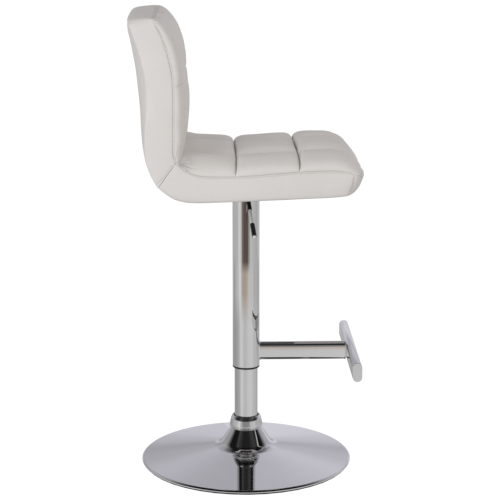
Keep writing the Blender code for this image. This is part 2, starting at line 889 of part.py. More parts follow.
def build_lever(lever, valve):
    """The height lever, measured from its pivot, and the valve pin that its inner end presses."""
    arm_z = LEVER_ROD_HEIGHT - LEVER_PIVOT.z
    wall_x = -PAN_HALF_X - LEVER_PIVOT.x
    inner_end = Vector((0.0060 - LEVER_PIVOT.x, 0.0, arm_z))
    bend = Vector((wall_x - 0.0050, -0.0010, arm_z))
    tip = Vector((-0.1500 - LEVER_PIVOT.x, -0.0137, 0.5277 - LEVER_PIVOT.z))
    down = tip - bend
    bend_radius = 0.012
    corners = [(inner_end.x, inner_end.z, 0.0), (bend.x, bend.z, bend_radius), (tip.x, tip.z, 0.0)]
    path = []
    for point in filleted(corners, closed=False, step_degrees=7):
        share = min(max((point.x - bend.x) / down.x, 0.0), 1.0)
        path.append(Vector((point.x, bend.y + down.y * share if share > 0 else bend.y, point.y)))
    sweep("lever_rod", path, LEVER_ROD_RADIUS, chrome(), lever)

    def along_rod(share):
        return bend + down * share

    grip_inner = LEVER_ROD_RADIUS + GAP
    grip = [along_rod(share) for share in (0.700, 0.715, 0.960, 0.975)]
    sweep("lever_grip", grip, 0.0058, black_plastic(), lever, 16, grip_inner)
    sleeve = [along_rod(share) for share in (0.150, 0.390)]
    sweep("lever_sleeve", sleeve, 0.0052, black_plastic(), lever, 16, grip_inner)

    lug = box(
        "lever_lug",
        (-0.0045, -0.0040, arm_z + LEVER_ROD_RADIUS + GAP),
        (0.0045, 0.0040, 0.0040),
        steel(),
        lever,
    )
    bore_radius = 0.0020 + GAP
    bore = [[(x, y, z) for x, z in arc(0.0, 0.0, bore_radius, 0, 337.5, 15)] for y in (-0.02, 0.02)]
    boolean(lug, loops_solid("lug_bore_cutter", bore, steel(), lever))

    pin_bottom = 0.5680
    turned(
        "valve_pin",
        [
            (0.0, pin_bottom),
            (VALVE_PIN_RADIUS, pin_bottom),
            (VALVE_PIN_RADIUS, VALVE_PIN_TOP - 0.0008),
            (VALVE_PIN_RADIUS - 0.0010, VALVE_PIN_TOP),
            (0.0, VALVE_PIN_TOP),
        ],
        brass(),
        valve,
        16,
    )


def main():
    clear_scene()
    base = joint_empty("base_frame", (0.0, 0.0, 0.0))
    rod = joint_empty("swivel_axis", (0.0, 0.0, 0.0), base)
    carriage = joint_empty("lift_axis", (0.0, 0.0, 0.0), rod)
    lever = joint_empty("lever_axis", LEVER_PIVOT, carriage)
    valve = joint_empty("valve_axis", (0.0, 0.0, 0.0), carriage)
    build_base(base)
    race_top = build_stand(base)
    build_rod(rod, race_top)
    build_cylinder(carriage)
    build_sleeve(carriage)
    build_footrest(carriage)
    build_mechanism(carriage)
    build_fasteners(carriage)
    build_upholstery(carriage)
    build_lever(lever, valve)


main()
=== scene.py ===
"""Looks of the adjustable swivel stool: quilted upholstery, chrome, lever, studio light and camera."""

import json
import math

import bmesh
import bpy
import numpy as np
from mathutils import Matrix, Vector, noise
from mathutils.bvhtree import BVHTree


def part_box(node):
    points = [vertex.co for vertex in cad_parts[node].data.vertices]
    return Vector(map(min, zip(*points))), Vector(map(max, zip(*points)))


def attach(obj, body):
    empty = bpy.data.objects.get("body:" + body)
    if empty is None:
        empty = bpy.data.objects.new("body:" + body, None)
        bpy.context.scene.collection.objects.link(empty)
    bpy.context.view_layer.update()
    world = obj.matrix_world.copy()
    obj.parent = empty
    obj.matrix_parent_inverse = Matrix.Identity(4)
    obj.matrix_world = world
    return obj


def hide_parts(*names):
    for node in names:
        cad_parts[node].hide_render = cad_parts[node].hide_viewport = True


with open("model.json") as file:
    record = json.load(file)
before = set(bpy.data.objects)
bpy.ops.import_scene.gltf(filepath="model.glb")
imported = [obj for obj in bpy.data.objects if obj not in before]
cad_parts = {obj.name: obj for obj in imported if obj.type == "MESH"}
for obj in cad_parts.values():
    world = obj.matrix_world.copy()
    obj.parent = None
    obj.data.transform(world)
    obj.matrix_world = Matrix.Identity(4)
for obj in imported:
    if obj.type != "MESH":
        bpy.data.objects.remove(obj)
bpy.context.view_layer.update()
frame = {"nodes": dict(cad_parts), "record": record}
TAU = 2 * math.pi

# ------------------------------------------------------------------ materials


class Nodes:
    """Short helpers to wire a material's nodes, or the world's."""

    def __init__(self, name, world=False):
        owner = bpy.data.worlds.new(name) if world else bpy.data.materials.new(name)
        owner.use_nodes = True
        self.material = owner
        self.tree = owner.node_tree
        self.shader = self.tree.nodes.get("Principled BSDF")
        self.place = self.tree.nodes.new("ShaderNodeTexCoord").outputs["Generated" if world else "Object"]

    def set(self, **values):
        for name, value in values.items():
            self.shader.inputs[name.replace("_", " ")].default_value = value

    def link(self, source, target):
        self.tree.links.new(source, target)

    def node(self, kind, **settings):
        made = self.tree.nodes.new("ShaderNode" + kind)
        for name, value in settings.items():
            setattr(made, name, value)
        return made

    def noise(self, scale, detail=3.0, roughness=0.5, stretch=(1, 1, 1)):
        mapping = self.node("Mapping")
        mapping.inputs["Scale"].default_value = stretch
        self.link(self.place, mapping.inputs["Vector"])
        made = self.node("TexNoise")
        made.inputs["Scale"].default_value = scale
        made.inputs["Detail"].default_value = detail
        made.inputs["Roughness"].default_value = roughness
        self.link(mapping.outputs[0], made.inputs["Vector"])
        return made.outputs["Fac"]

    def cells(self, scale, feature="DISTANCE_TO_EDGE"):
        made = self.node("TexVoronoi", feature=feature)
        made.inputs["Scale"].default_value = scale
        self.link(self.place, made.inputs["Vector"])
        return made.outputs["Distance"]

    def remap(self, source, low, high, to_low, to_high):
        made = self.node("MapRange")
        for name, value in zip(("From Min", "From Max", "To Min", "To Max"), (low, high, to_low, to_high)):
            made.inputs[name].default_value = value
        self.link(source, made.inputs["Value"])
        return made.outputs["Result"]

    def mix(self, factor, one, other, blend="MIX"):
        made = self.node("Mix", data_type="RGBA", blend_type=blend)
        colors = [socket for socket in made.inputs if socket.type == "RGBA"]
        for socket, value in zip(colors, (one, other)):
            if isinstance(value, tuple):
                socket.default_value = (*value, 1.0)
            else:
                self.link(value, socket)
        if isinstance(factor, float):
            made.inputs[0].default_value = factor
        else:
            self.link(factor, made.inputs[0])
        return [socket for socket in made.outputs if socket.type == "RGBA"][0]

    def ramp(self, source, stops):
        """Colours by place from 0 to 1, smoothly joined."""
        made = self.node("ValToRGB")
        made.color_ramp.interpolation = "EASE"
        elements = made.color_ramp.elements
        while len(elements) < len(stops):
            elements.new(0.5)
        for element, (place, color) in zip(elements, stops):
            element.position = place
            element.color = (*(color if isinstance(color, tuple) else (color,) * 3), 1.0)
        self.link(source, made.inputs[0])
        return made.outputs["Color"]

    def split(self, vector):
        made = self.node("SeparateXYZ")
        self.link(vector, made.inputs[0])
        return made.outputs["X"], made.outputs["Y"], made.outputs["Z"]

    def math(self, operation, one, other=0.0):
        made = self.node("Math", operation=operation)
        for socket, value in zip(made.inputs, (one, other)):
            if isinstance(value, float):
                socket.default_value = value
            else:
                self.link(value, socket)
        return made.outputs[0]

    def attribute(self, name):
        return self.node("Attribute", attribute_name=name).outputs["Fac"]

    def bump(self, height, distance, strength=1.0, after=None):
        made = self.node("Bump")
        made.inputs["Strength"].default_value = strength
        made.inputs["Distance"].default_value = distance
        self.link(height, made.inputs["Height"])
        if after is not None:
            self.link(after, made.inputs["Normal"])
        return made.outputs["Normal"]

    def color(self, socket):
        self.link(socket, self.shader.inputs["Base Color"])

    def roughness(self, socket):
        self.link(socket, self.shader.inputs["Roughness"])

    def normal(self, socket):
        self.link(socket, self.shader.inputs["Normal"])


def leather_material():
    """White coated leather: fine pebble grain, faint mottling, painted shade in the seams and the mitre
    crease, rubbed patches.
    """
    m = Nodes("white_leather")
    m.set(Metallic=0.0, IOR=1.46, Specular_IOR_Level=0.42, Coat_Weight=0.05, Coat_Roughness=0.35)
    mottle = m.remap(m.noise(14.0, 4.0), 0.35, 0.65, 0.0, 1.0)
    base = m.mix(mottle, (0.800, 0.775, 0.755), (0.825, 0.802, 0.785))
    fine = m.remap(m.noise(170.0, 2.0), 0.3, 0.7, 0.0, 0.35)
    base = m.mix(fine, base, (0.775, 0.748, 0.725))
    # Painted shade: the leather is darkened to a brown grey along the seam lines and in the mitre crease.
    seam_shade = m.remap(m.attribute("seam"), 0.25, 1.0, 0.0, 0.85)
    base = m.mix(seam_shade, base, (0.36, 0.31, 0.27))
    m.color(base)
    rubbed = m.remap(m.noise(7.0, 3.0), 0.3, 0.7, 0.40, 0.50)
    m.roughness(m.math("ADD", rubbed, m.remap(m.noise(260.0, 1.0), 0.3, 0.7, -0.03, 0.05)))
    pebbles = m.remap(m.cells(620.0), 0.0, 0.22, 0.0, 1.0)
    # Fine folds that fan out of the corners where the seat's crease meets its border.
    fan = m.math("SINE", m.math("MULTIPLY", m.attribute("fan"), 19.0))
    folds = m.bump(m.math("MULTIPLY", fan, m.attribute("gathered")), 0.0021)
    broad = m.bump(m.noise(60.0, 3.0), 0.0006, 0.35, after=folds)
    m.normal(m.bump(pebbles, 0.00012, 0.35, after=broad))
    return m.material


def thread_material():
    m = Nodes("seam_thread")
    m.set(Metallic=0.0, Roughness=0.65, Sheen_Weight=0.2)
    twist = m.remap(m.noise(900.0, 1.0), 0.3, 0.7, 0.0, 1.0)
    m.color(m.mix(twist, (0.44, 0.40, 0.36), (0.58, 0.54, 0.49)))
    m.normal(m.bump(twist, 0.0001, 0.5))
    return m.material


def chrome_material():
    """Bright plating: near mirror, with a faint haze of wiping marks and fine scratches."""
    m = Nodes("polished_chrome")
    m.set(Metallic=1.0)
    haze = m.remap(m.noise(9.0, 4.0), 0.35, 0.7, 0.0, 1.0)
    m.color(m.mix(haze, (0.800, 0.795, 0.805), (0.770, 0.766, 0.778)))
    scratches = m.remap(m.noise(420.0, 1.0, stretch=(1, 1, 0.04)), 0.55, 0.75, 0.0, 0.02)
    m.roughness(m.math("ADD", m.remap(m.noise(22.0, 5.0), 0.3, 0.7, 0.030, 0.060), scratches))
    return m.material


def grained(name, metallic, grain, dark, light, rough, relief=None):
    """Colour, gloss and relief follow one fine pattern, given as its scale, detail and stretch."""
    m = Nodes(name)
    m.set(Metallic=metallic)
    scale, detail, stretch = grain
    pattern = m.noise(scale, detail, stretch=stretch)
    m.color(m.mix(pattern, dark, light))
    m.roughness(m.remap(pattern, 0.3, 0.7, *rough))
    if relief:
        m.normal(m.bump(pattern, *relief))
    return m.material


def moulded_plastic(name, dark, light, rough_low, rough_high):
    """Moulded plastic with a fine spark-eroded texture."""
    m = Nodes(name)
    m.set(Metallic=0.0, IOR=1.48)
    grain = m.noise(700.0, 2.0)
    m.color(m.mix(grain, dark, light))
    m.roughness(m.remap(m.noise(40.0, 3.0), 0.3, 0.7, rough_low, rough_high))
    m.normal(m.bump(grain, 0.00006, 0.5))
    return m.material


def plywood_material():
    m = Nodes("beech_plywood")
    m.set(Metallic=0.0)
    plies = m.node("TexWave", wave_type="BANDS", bands_direction="Z")
    m.link(m.place, plies.inputs["Vector"])
    plies.inputs["Scale"].default_value = 120.0
    plies.inputs["Distortion"].default_value = 0.6
    figure = m.noise(18.0, 4.0, stretch=(1, 8, 8))
    wood = m.mix(figure, (0.62, 0.44, 0.27), (0.78, 0.60, 0.40))
    m.color(m.mix(m.math("MULTIPLY", plies.outputs["Fac"], 0.35), wood, (0.45, 0.30, 0.17)))
    m.set(Roughness=0.6)
    m.normal(m.bump(figure, 0.0002, 0.4))
    return m.material


def dust_cloth_material():
    """Black spun-bonded cloth: pressed dots in rows over loose fibres."""
    m = Nodes("black_dust_cloth")
    m.set(Metallic=0.0, Sheen_Weight=0.3, Roughness=0.9)
    dots = m.remap(m.cells(520.0, "F1"), 0.15, 0.45, 1.0, 0.0)
    fibres = m.noise(800.0, 3.0, stretch=(1, 0.2, 1))
    m.color(m.mix(fibres, (0.012, 0.012, 0.013), (0.035, 0.035, 0.036)))
    m.normal(m.bump(m.math("ADD", dots, fibres), 0.0002, 0.7))
    return m.material


LEATHER = leather_material()
THREAD = thread_material()
CHROME = chrome_material()
EVEN, DRAWN_X, DRAWN_Z, LATHED = (1, 1, 1), (0.1, 1, 1), (1, 1, 0.1), (0.2, 0.2, 2)
# The lever rod's chrome is brightened by a near-white, half-metallic colour, which is a painted highlight.
# Its higher roughness blurs its reflections.
SATIN_CHROME_PAINTED_HIGHLIGHT = grained(
    "satin_chrome_painted_highlight", 0.5, (300.0, 2.0, DRAWN_X),
    (0.97, 0.97, 0.98), (0.92, 0.92, 0.93), (0.38, 0.48),
)
STEEL = grained(
    "bare_steel", 1.0, (300.0, 2.0, DRAWN_Z),
    (0.50, 0.50, 0.51), (0.60, 0.60, 0.60), (0.28, 0.42), (0.00005, 0.4),
)
BLACK_PAINT = grained(
    "black_powder_coat", 0.0, (900.0, 2.0, EVEN),
    (0.016, 0.016, 0.017), (0.032, 0.032, 0.033), (0.42, 0.58), (0.00012, 0.6),
)
IRON = grained(
    "cast_iron", 0.7, (350.0, 4.0, EVEN),
    (0.05, 0.048, 0.046), (0.14, 0.13, 0.12), (0.62, 0.82), (0.0006, 0.8),
)
BRASS = grained(
    "turned_brass", 1.0, (500.0, 1.0, LATHED),
    (0.66, 0.48, 0.22), (0.78, 0.60, 0.30), (0.22, 0.38),
)
BLACK_PLASTIC = moulded_plastic("black_plastic", (0.010, 0.010, 0.011), (0.022, 0.022, 0.023), 0.22, 0.34)
RUBBER = moulded_plastic("black_rubber", (0.014, 0.014, 0.014), (0.030, 0.030, 0.030), 0.60, 0.75)
CAP_PLASTIC = moulded_plastic("light_grey_plastic", (0.60, 0.60, 0.61), (0.66, 0.66, 0.67), 0.30, 0.42)
PLYWOOD = plywood_material()
DUST_CLOTH = dust_cloth_material()

SLOT_MATERIALS = {
    "chrome": CHROME,
    "steel": STEEL,
    "black_steel": BLACK_PAINT,
    "iron": IRON,
    "black_plastic": BLACK_PLASTIC,
    "rubber": RUBBER,
    "grey_plastic": CAP_PLASTIC,
    "leather": LEATHER,
    "plywood": PLYWOOD,
    "dust_cloth": DUST_CLOTH,
    "brass": BRASS,
}


def dress_cad_nodes():
    """Each carried-over CAD node takes the detailed material of its slot."""
    for entry in frame["record"]["subparts"]:
        mesh = frame["nodes"][entry["node"]].data
        mesh.materials.clear()
        mesh.materials.append(SLOT_MATERIALS[entry["material_slot"]])


# ------------------------------------------------------------------ mesh helpers


def added(name, data):
    """A new object in the scene."""
    made = bpy.data.objects.new(name, data)
    bpy.context.scene.collection.objects.link(made)
    return made


def piece(name, points, faces, material, body, replaces=(), smooth_angle=40.0):
    mesh = bpy.data.meshes.new(name)
    mesh.from_pydata([tuple(point) for point in points], [], faces)
    builder = bmesh.new()
    builder.from_mesh(mesh)
    bmesh.ops.recalc_face_normals(builder, faces=builder.faces)
    builder.to_mesh(mesh)
    builder.free()
    mesh.shade_smooth()
    if smooth_angle < 180.0:
        mesh.set_sharp_from_angle(angle=math.radians(smooth_angle))
    mesh.materials.append(material)
    made = added(name, mesh)
    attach(made, body)
    if replaces:
        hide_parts(*replaces)
    return made


def bridge(loops, closed_ring=False, capped=True):
    """Points and faces of equal loops joined in turn."""
    count = len(loops[0])
    points = [point for loop in loops for point in loop]
    faces = []
    pairs = [(i, i + 1) for i in range(len(loops) - 1)]
    if closed_ring:
        pairs.append((len(loops) - 1, 0))
    for one, other in pairs:
        for i in range(count):
            j = (i + 1) % count
            faces.append((one * count + i, one * count + j, other * count + j, other * count + i))
    if capped and not closed_ring:
        faces.append(tuple(range(count)))
        faces.append(tuple(range((len(loops) - 1) * count, len(loops) * count)))
    return points, faces


def ring(centre, across, other, radius, sides):
    """Points round a circle in the plane of two directions."""
    points = []
    for i in range(sides):
        turn = TAU * i / sides
        points.append(centre + across * (radius * math.cos(turn)) + other * (radius * math.sin(turn)))
    return points


def rounded_path(corners, steps=6):
    """Points through (a, b, radius) corners of an open line, each corner turned by an arc."""
    points = []
    for index, (a, b, radius) in enumerate(corners):
        here = Vector((a, b))
        if index in (0, len(corners) - 1) or radius <= 0:
            points.append(here)
            continue
        back = Vector(corners[index - 1][:2]) - here
        ahead = Vector(corners[index + 1][:2]) - here
        half = back.angle(ahead) / 2
        reach = min(radius / math.tan(half), 0.49 * back.length, 0.49 * ahead.length)
        start, end = here + back.normalized() * reach, here + ahead.normalized() * reach
        true_radius = reach * math.tan(half)
        inward = (back.normalized() + ahead.normalized()).normalized()
        centre = here + inward * (true_radius / math.sin(half))
        turn = (start - centre).angle_signed(end - centre)
        for step in range(steps + 1):
            angle = -turn * step / steps
            arm = start - centre
            c, s = math.cos(angle), math.sin(angle)
            points.append(centre + Vector((arm.x * c - arm.y * s, arm.x * s + arm.y * c)))
    return points


def turned(name, corners, material, body, replaces=(), segments=160, steps=6):
    """A solid of revolution about Z from rounded (radius, z, rounding) corners."""
    profile = rounded_path([*corners, corners[0]], steps)[:-1]
    loops = []
    for i in range(segments):
        turn = TAU * i / segments
        loops.append([(p.x * math.cos(turn), p.x * math.sin(turn), p.y) for p in profile])
    points, faces = bridge(loops, closed_ring=True)
    return piece(name, points, faces, material, body, replaces, 50.0)


def flat_oval(width, height, steps=14):
    radius, straight = width / 2, (height - width) / 2
    loop = []
    for side, first in ((1, 0.0), (-1, math.pi)):
        for step in range(steps + 1):
            turn = first + math.pi * step / steps
            loop.append((radius * math.cos(turn), side * straight + radius * math.sin(turn)))
    return loop


def swept(path, radii, sides=24):
    """Loops of a round bar along a path, its radius given at each point."""
    loops = []
    reference = Vector((0.0, 1.0, 0.0))
    for index, point in enumerate(path):
        along = (path[min(index + 1, len(path) - 1)] - path[max(index - 1, 0)]).normalized()
        across = along.cross(reference).normalized()
        other = along.cross(across).normalized()
        loops.append(ring(point, across, other, radii[index], sides))
    return loops


# ------------------------------------------------------------------ base and column


def build_base():
    low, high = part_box("base_dome")
    rim_radius = high.x
    neck_top = high.z
    neck_radius, flare_radius, flare_height, fillet = 0.0330, 0.0600, 0.0341, 0.028
    rim_top, roll, sheet = 0.0095, 0.0032, 0.0015
    bottom = low.z
    turned(
        "trumpet_dome",
        [
            (neck_radius - sheet, neck_top, 0.0),
            (neck_radius, neck_top, 0.0),
            (flare_radius, flare_height, fillet),
            (rim_radius - roll, rim_top, 0.004),
            (rim_radius, rim_top - roll * 0.9, 0.0016),
            (rim_radius, bottom + 0.0016, 0.0012),
            (rim_radius - roll * 0.8, bottom, 0.0008),
            (rim_radius - roll - sheet, rim_top - sheet * 2, 0.0),
            (flare_radius - sheet, flare_height - sheet, fillet),
        ],
        CHROME,
        "base",
        ("base_dome",),
        segments=256,
        steps=12,
    )
    collar_low, collar_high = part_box("neck_collar")
    widest = collar_high.x
    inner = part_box("stand_tube")[1].x + 0.0002
    turned(
        "bell_collar",
        [
            (inner, collar_low.z + 0.0004, 0.0),
            (neck_radius + 0.0012, collar_low.z, 0.0010),
            (widest - 0.0004, collar_low.z + 0.0012, 0.0012),
            (widest, collar_low.z + 0.0070, 0.010),
            (widest - 0.0030, collar_high.z - 0.0075, 0.012),
            (widest - 0.0062, collar_high.z, 0.0022),
            (inner + 0.0022, collar_high.z - 0.0004, 0.0012),
            (inner + 0.0012, collar_high.z - 0.0032, 0.0004),
            (inner, collar_high.z - 0.0034, 0.0),
        ],
        CHROME,
        "base",
        ("neck_collar",),
    )
    seal_top = collar_high.z - 0.0008
    turned(
        "collar_joint",
        [
            (inner + 0.0001, seal_top - 0.0020, 0.0),
            (inner + 0.0011, seal_top - 0.0020, 0.0),
            (inner + 0.0010, seal_top, 0.0004),
            (inner + 0.0001, seal_top, 0.0),
        ],
        RUBBER,
        "base",
    )


def build_column():
    tube_low, tube_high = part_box("stand_tube")
    tube = tube_high.x
    taper_radius, taper_top, wall = 0.0238, 0.0720, 0.0018
    turned(
        "stand_tube_chromed",
        [
            (taper_radius - wall, tube_low.z, 0.0),
            (taper_radius, tube_low.z, 0.0),
            (tube, taper_top, 0.010),
            (tube, tube_high.z, 0.0006),
            (tube - wall, tube_high.z, 0.0),
            (tube - wall, taper_top, 0.0),
        ],
        CHROME,
        "base",
        ("stand_tube",),
    )
    sleeve_low, sleeve_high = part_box("column_sleeve")
    outer, inner = sleeve_high.x, 0.0277
    turned(
        "outer_sleeve_chromed",
        [
            (inner, sleeve_low.z, 0.0),
            (outer, sleeve_low.z, 0.0005),
            (outer, sleeve_high.z, 0.0005),
            (inner, sleeve_high.z, 0.0),
        ],
        CHROME,
        "carriage",
        ("column_sleeve",),
    )
    bush_low, bush_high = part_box("sleeve_bush")
    lip_top = sleeve_low.z - 0.0002
    turned(
        "sleeve_end_ring",
        [
            (tube + 0.0003, bush_low.z, 0.0),
            (outer - 0.0006, bush_low.z, 0.0006),
            (outer + 0.0002, bush_low.z + 0.0010, 0.0008),
            (outer + 0.0002, lip_top - 0.0006, 0.0005),
            (outer - 0.0002, lip_top, 0.0002),
            (inner - 0.0003, lip_top, 0.0),
            (inner - 0.0003, bush_high.z, 0.0),
            (tube + 0.0003, bush_high.z, 0.0),
        ],
        BLACK_PLASTIC,
        "carriage",
        ("sleeve_bush",),
    )


def build_footrest():
    stem_low, stem_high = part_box("footrest_stem")
    width, height = stem_high.x - stem_low.x, stem_high.z - stem_low.z
    middle_z = (stem_low.z + stem_high.z) / 2
    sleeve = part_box("column_sleeve")[1].x
    bar_low, bar_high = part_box("footrest_bar")
    bar_face = stem_low.y

    # The stem meets the round sleeve along a saddle, with a smooth weld at both ends.
    weld = 0.0034

    def stem_loop(share, swell):
        """share runs from 0 at the sleeve to 1 at the bar; swell is how far the weld stands out."""
        loop = []
        for a, b in flat_oval(width, height):
            out = Vector((a, b)).normalized() * swell
            start = -math.sqrt(max(sleeve**2 - min(abs(a + out.x), sleeve * 0.98) ** 2, 0.0))
            loop.append((a + out.x, start + (bar_face - start) * share, middle_z + b + out.y))
        return loop

    length = abs(bar_face) - sleeve
    stations = []
    for step in range(6):
        turn = math.pi / 2 * step / 5
        stations.append((weld * (1 - math.cos(turn)) / length, weld * (1 - math.sin(turn))))
    far_end = [(1 - share, swell * 0.55) for share, swell in reversed(stations)]
    loops = [stem_loop(share, swell) for share, swell in stations + [(0.35, 0.0), (0.65, 0.0)] + far_end]
    points, faces = bridge(loops)
    piece("footrest_stem_chromed", points, faces, CHROME, "carriage", ("footrest_stem",), 60.0)

    middle_y = (bar_low.y + bar_high.y) / 2
    bar_width, bar_height = bar_high.y - bar_low.y, bar_high.z - bar_low.z
    edge = 0.0007

    def bar_loop(x, inset):
        loop = flat_oval(bar_width - 2 * inset, bar_height - 2 * inset)
        return [(x, middle_y + a, middle_z + b) for a, b in loop]

    wall = 0.0015
    ends = [
        (bar_low.x + 0.004, wall),
        (bar_low.x, wall),
        (bar_low.x, edge),
        (bar_low.x + edge * 0.3, edge * 0.3),
        (bar_low.x + edge, 0.0),
        (0.0, 0.0),
        (bar_high.x - edge, 0.0),
        (bar_high.x - edge * 0.3, edge * 0.3),
        (bar_high.x, edge),
        (bar_high.x, wall),
        (bar_high.x - 0.004, wall),
    ]
    points, faces = bridge([bar_loop(x, inset) for x, inset in ends], capped=False)
    count = len(bar_loop(0.0, 0.0))
    last = (len(ends) - 1) * count
    for i in range(count):
        j = (i + 1) % count
        faces.append((i, j, last + j, last + i))
    piece("footrest_bar_chromed", points, faces, CHROME, "carriage", ("footrest_bar",), 60.0)

    for node, side in (("bar_cap_right", -1.0), ("bar_cap_left", 1.0)):
        low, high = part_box(node)
        outside = low.x if side < 0 else high.x
        inside = (bar_low.x - 0.0003) if side < 0 else (bar_high.x + 0.0003)
        plug_end = high.x if side < 0 else low.x
        depth = abs(outside - inside)
        groove = 0.0008
        rounding = [
            (plug_end, wall + 0.0003),
            (inside, wall + 0.0003),
            (inside, groove),
            (inside + side * depth * 0.25, groove),
            (inside + side * depth * 0.30, 0.0001),
            (inside + side * depth * 0.60, 0.0),
        ]
        for step in range(1, 6):
            turn = math.pi / 2 * step / 5
            rounding.append(
                (
                    inside + side * depth * (0.60 + 0.40 * math.sin(turn)),
                    0.0016 * (1 - math.cos(turn)),
                )
            )
        rounding.append((outside, 0.0036))
        rounding.append((outside - side * 0.0003, 0.0044))
        points, faces = bridge([bar_loop(x, inset) for x, inset in rounding])
        piece(f"{node}_moulded", points, faces, CAP_PLASTIC, "carriage", (node,), 35.0)


# ------------------------------------------------------------------ lever


def build_lever():
    """The rod leaves the pan level, bends down and ends in the grip."""
    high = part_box("lever_rod")[1]
    radius = 0.0036
    level = high.z - radius
    bend = Vector((-0.0500, -0.0010, level))
    tip = Vector((-0.1500, -0.0137, 0.5277))
    down = tip - bend
    corners = [(high.x, level, 0.0), (bend.x, bend.z, 0.012), (tip.x, tip.z, 0.0)]
    flat = rounded_path(corners, 10)
    path = []
    for point in flat:
        share = min(max((point.x - bend.x) / down.x, 0.0), 1.0)
        path.append(Vector((point.x, bend.y + down.y * share, point.y)))
    direction = down.normalized()
    path.insert(-1, path[-1] - direction * 0.0014)
    path.insert(-1, path[-1] - direction * 0.0004)
    radii = [radius] * len(path)
    radii[-2] = radius * 0.88
    radii[-1] = radius * 0.60
    points, faces = bridge(swept(path, radii, 32))
    # The rod takes the brightened chrome with the painted highlight.
    piece("lever_rod_chromed", points, faces, SATIN_CHROME_PAINTED_HIGHLIGHT, "lever", ("lever_rod",), 50.0)

    def tube(name, stations, node):
        """A sleeve on the rod: (share along the rod, outer radius) stations, hollow for the rod."""
        outer_path = [bend + down * share for share, _ in stations]
        outer = swept(outer_path, [r for _, r in stations], 40)
        bore = radius + 0.0003
        inner = swept(outer_path, [bore] * len(stations), 40)
        points, faces = bridge(outer + inner[::-1], closed_ring=True)
        piece(name, points, faces, BLACK_PLASTIC, "lever", (node,), 50.0)

    bulge, waist, lip = 0.0049, 0.0046, 0.0041
    grip = [(0.700, lip), (0.702, waist), (0.710, bulge)]
    rib_shape = [(-0.006, bulge), (-0.003, waist), (0.003, waist), (0.006, bulge)]
    for rib in range(7):
        middle = 0.735 + 0.030 * rib
        grip += [(middle + offset, size) for offset, size in rib_shape]
    grip += [(0.962, bulge), (0.970, waist), (0.975, lip)]
    tube("lever_grip_ribbed", grip, "lever_grip")
    sleeve = [(0.150, lip), (0.156, waist), (0.372, waist), (0.390, lip)]
    tube("lever_root_sleeve", sleeve, "lever_sleeve")


# ------------------------------------------------------------------ upholstery


def spaced(stops, coarse, first=0.0009, growth=1.75):
    """Positions from the first stop to the last: fine beside every stop and coarse between them."""
    places = [stops[0]]
    for low, high in zip(stops, stops[1:]):
        half = (high - low) / 2
        offsets, step, at = [], first, 0.0
        while at + step < half and step < coarse:
            at += step
            offsets.append(at)
            step *= growth
        rest = (high - low) - 2 * at
        parts = max(1, round(rest / coarse))
        inner = [low + at + rest * i / parts for i in range(1, parts)]
        places += [low + o for o in offsets] + inner + [high - o for o in reversed(offsets)] + [high]
    return places


def through(points):
    """A smooth curve through the points: a function of the share of its length, and the length."""
    knots = np.array(points, float)
    padded = np.vstack([2 * knots[0] - knots[1], knots, 2 * knots[-1] - knots[-2]])
    dense = []
    for i in range(1, len(padded) - 2):
        a, b, c, d = padded[i - 1], padded[i], padded[i + 1], padded[i + 2]
        square, cube = 2 * a - 5 * b + 4 * c - d, 3 * b - a - 3 * c + d
        for t in np.linspace(0, 1, 24, endpoint=False):
            dense.append(0.5 * (2 * b + (c - a) * t + square * t**2 + cube * t**3))
    dense.append(knots[-1])
    dense = np.array(dense)
    run = np.concatenate([[0.0], np.cumsum(np.linalg.norm(np.diff(dense, axis=0), axis=1))])

    def at(shares):
        places = np.asarray(shares, float) * run[-1]
        return np.stack([np.interp(places, run, dense[:, axis]) for axis in range(2)], axis=-1)

    return at, float(run[-1])


def pillow(distance, half, hardness, rounding=0.65):
    """Rise of a stuffed square, from 0 at its seam to 1 at its middle. A harder one is flatter there."""
    share = np.clip(distance / half, 0.0, 1.0)
    return (1 - (1 - share) ** hardness) ** rounding


def sewn(distance, width, sharpness=1.3):
    """How much of a sewn line is here: 1 on it, and 0 beside it."""
    return np.exp(-((distance / width) ** sharpness))


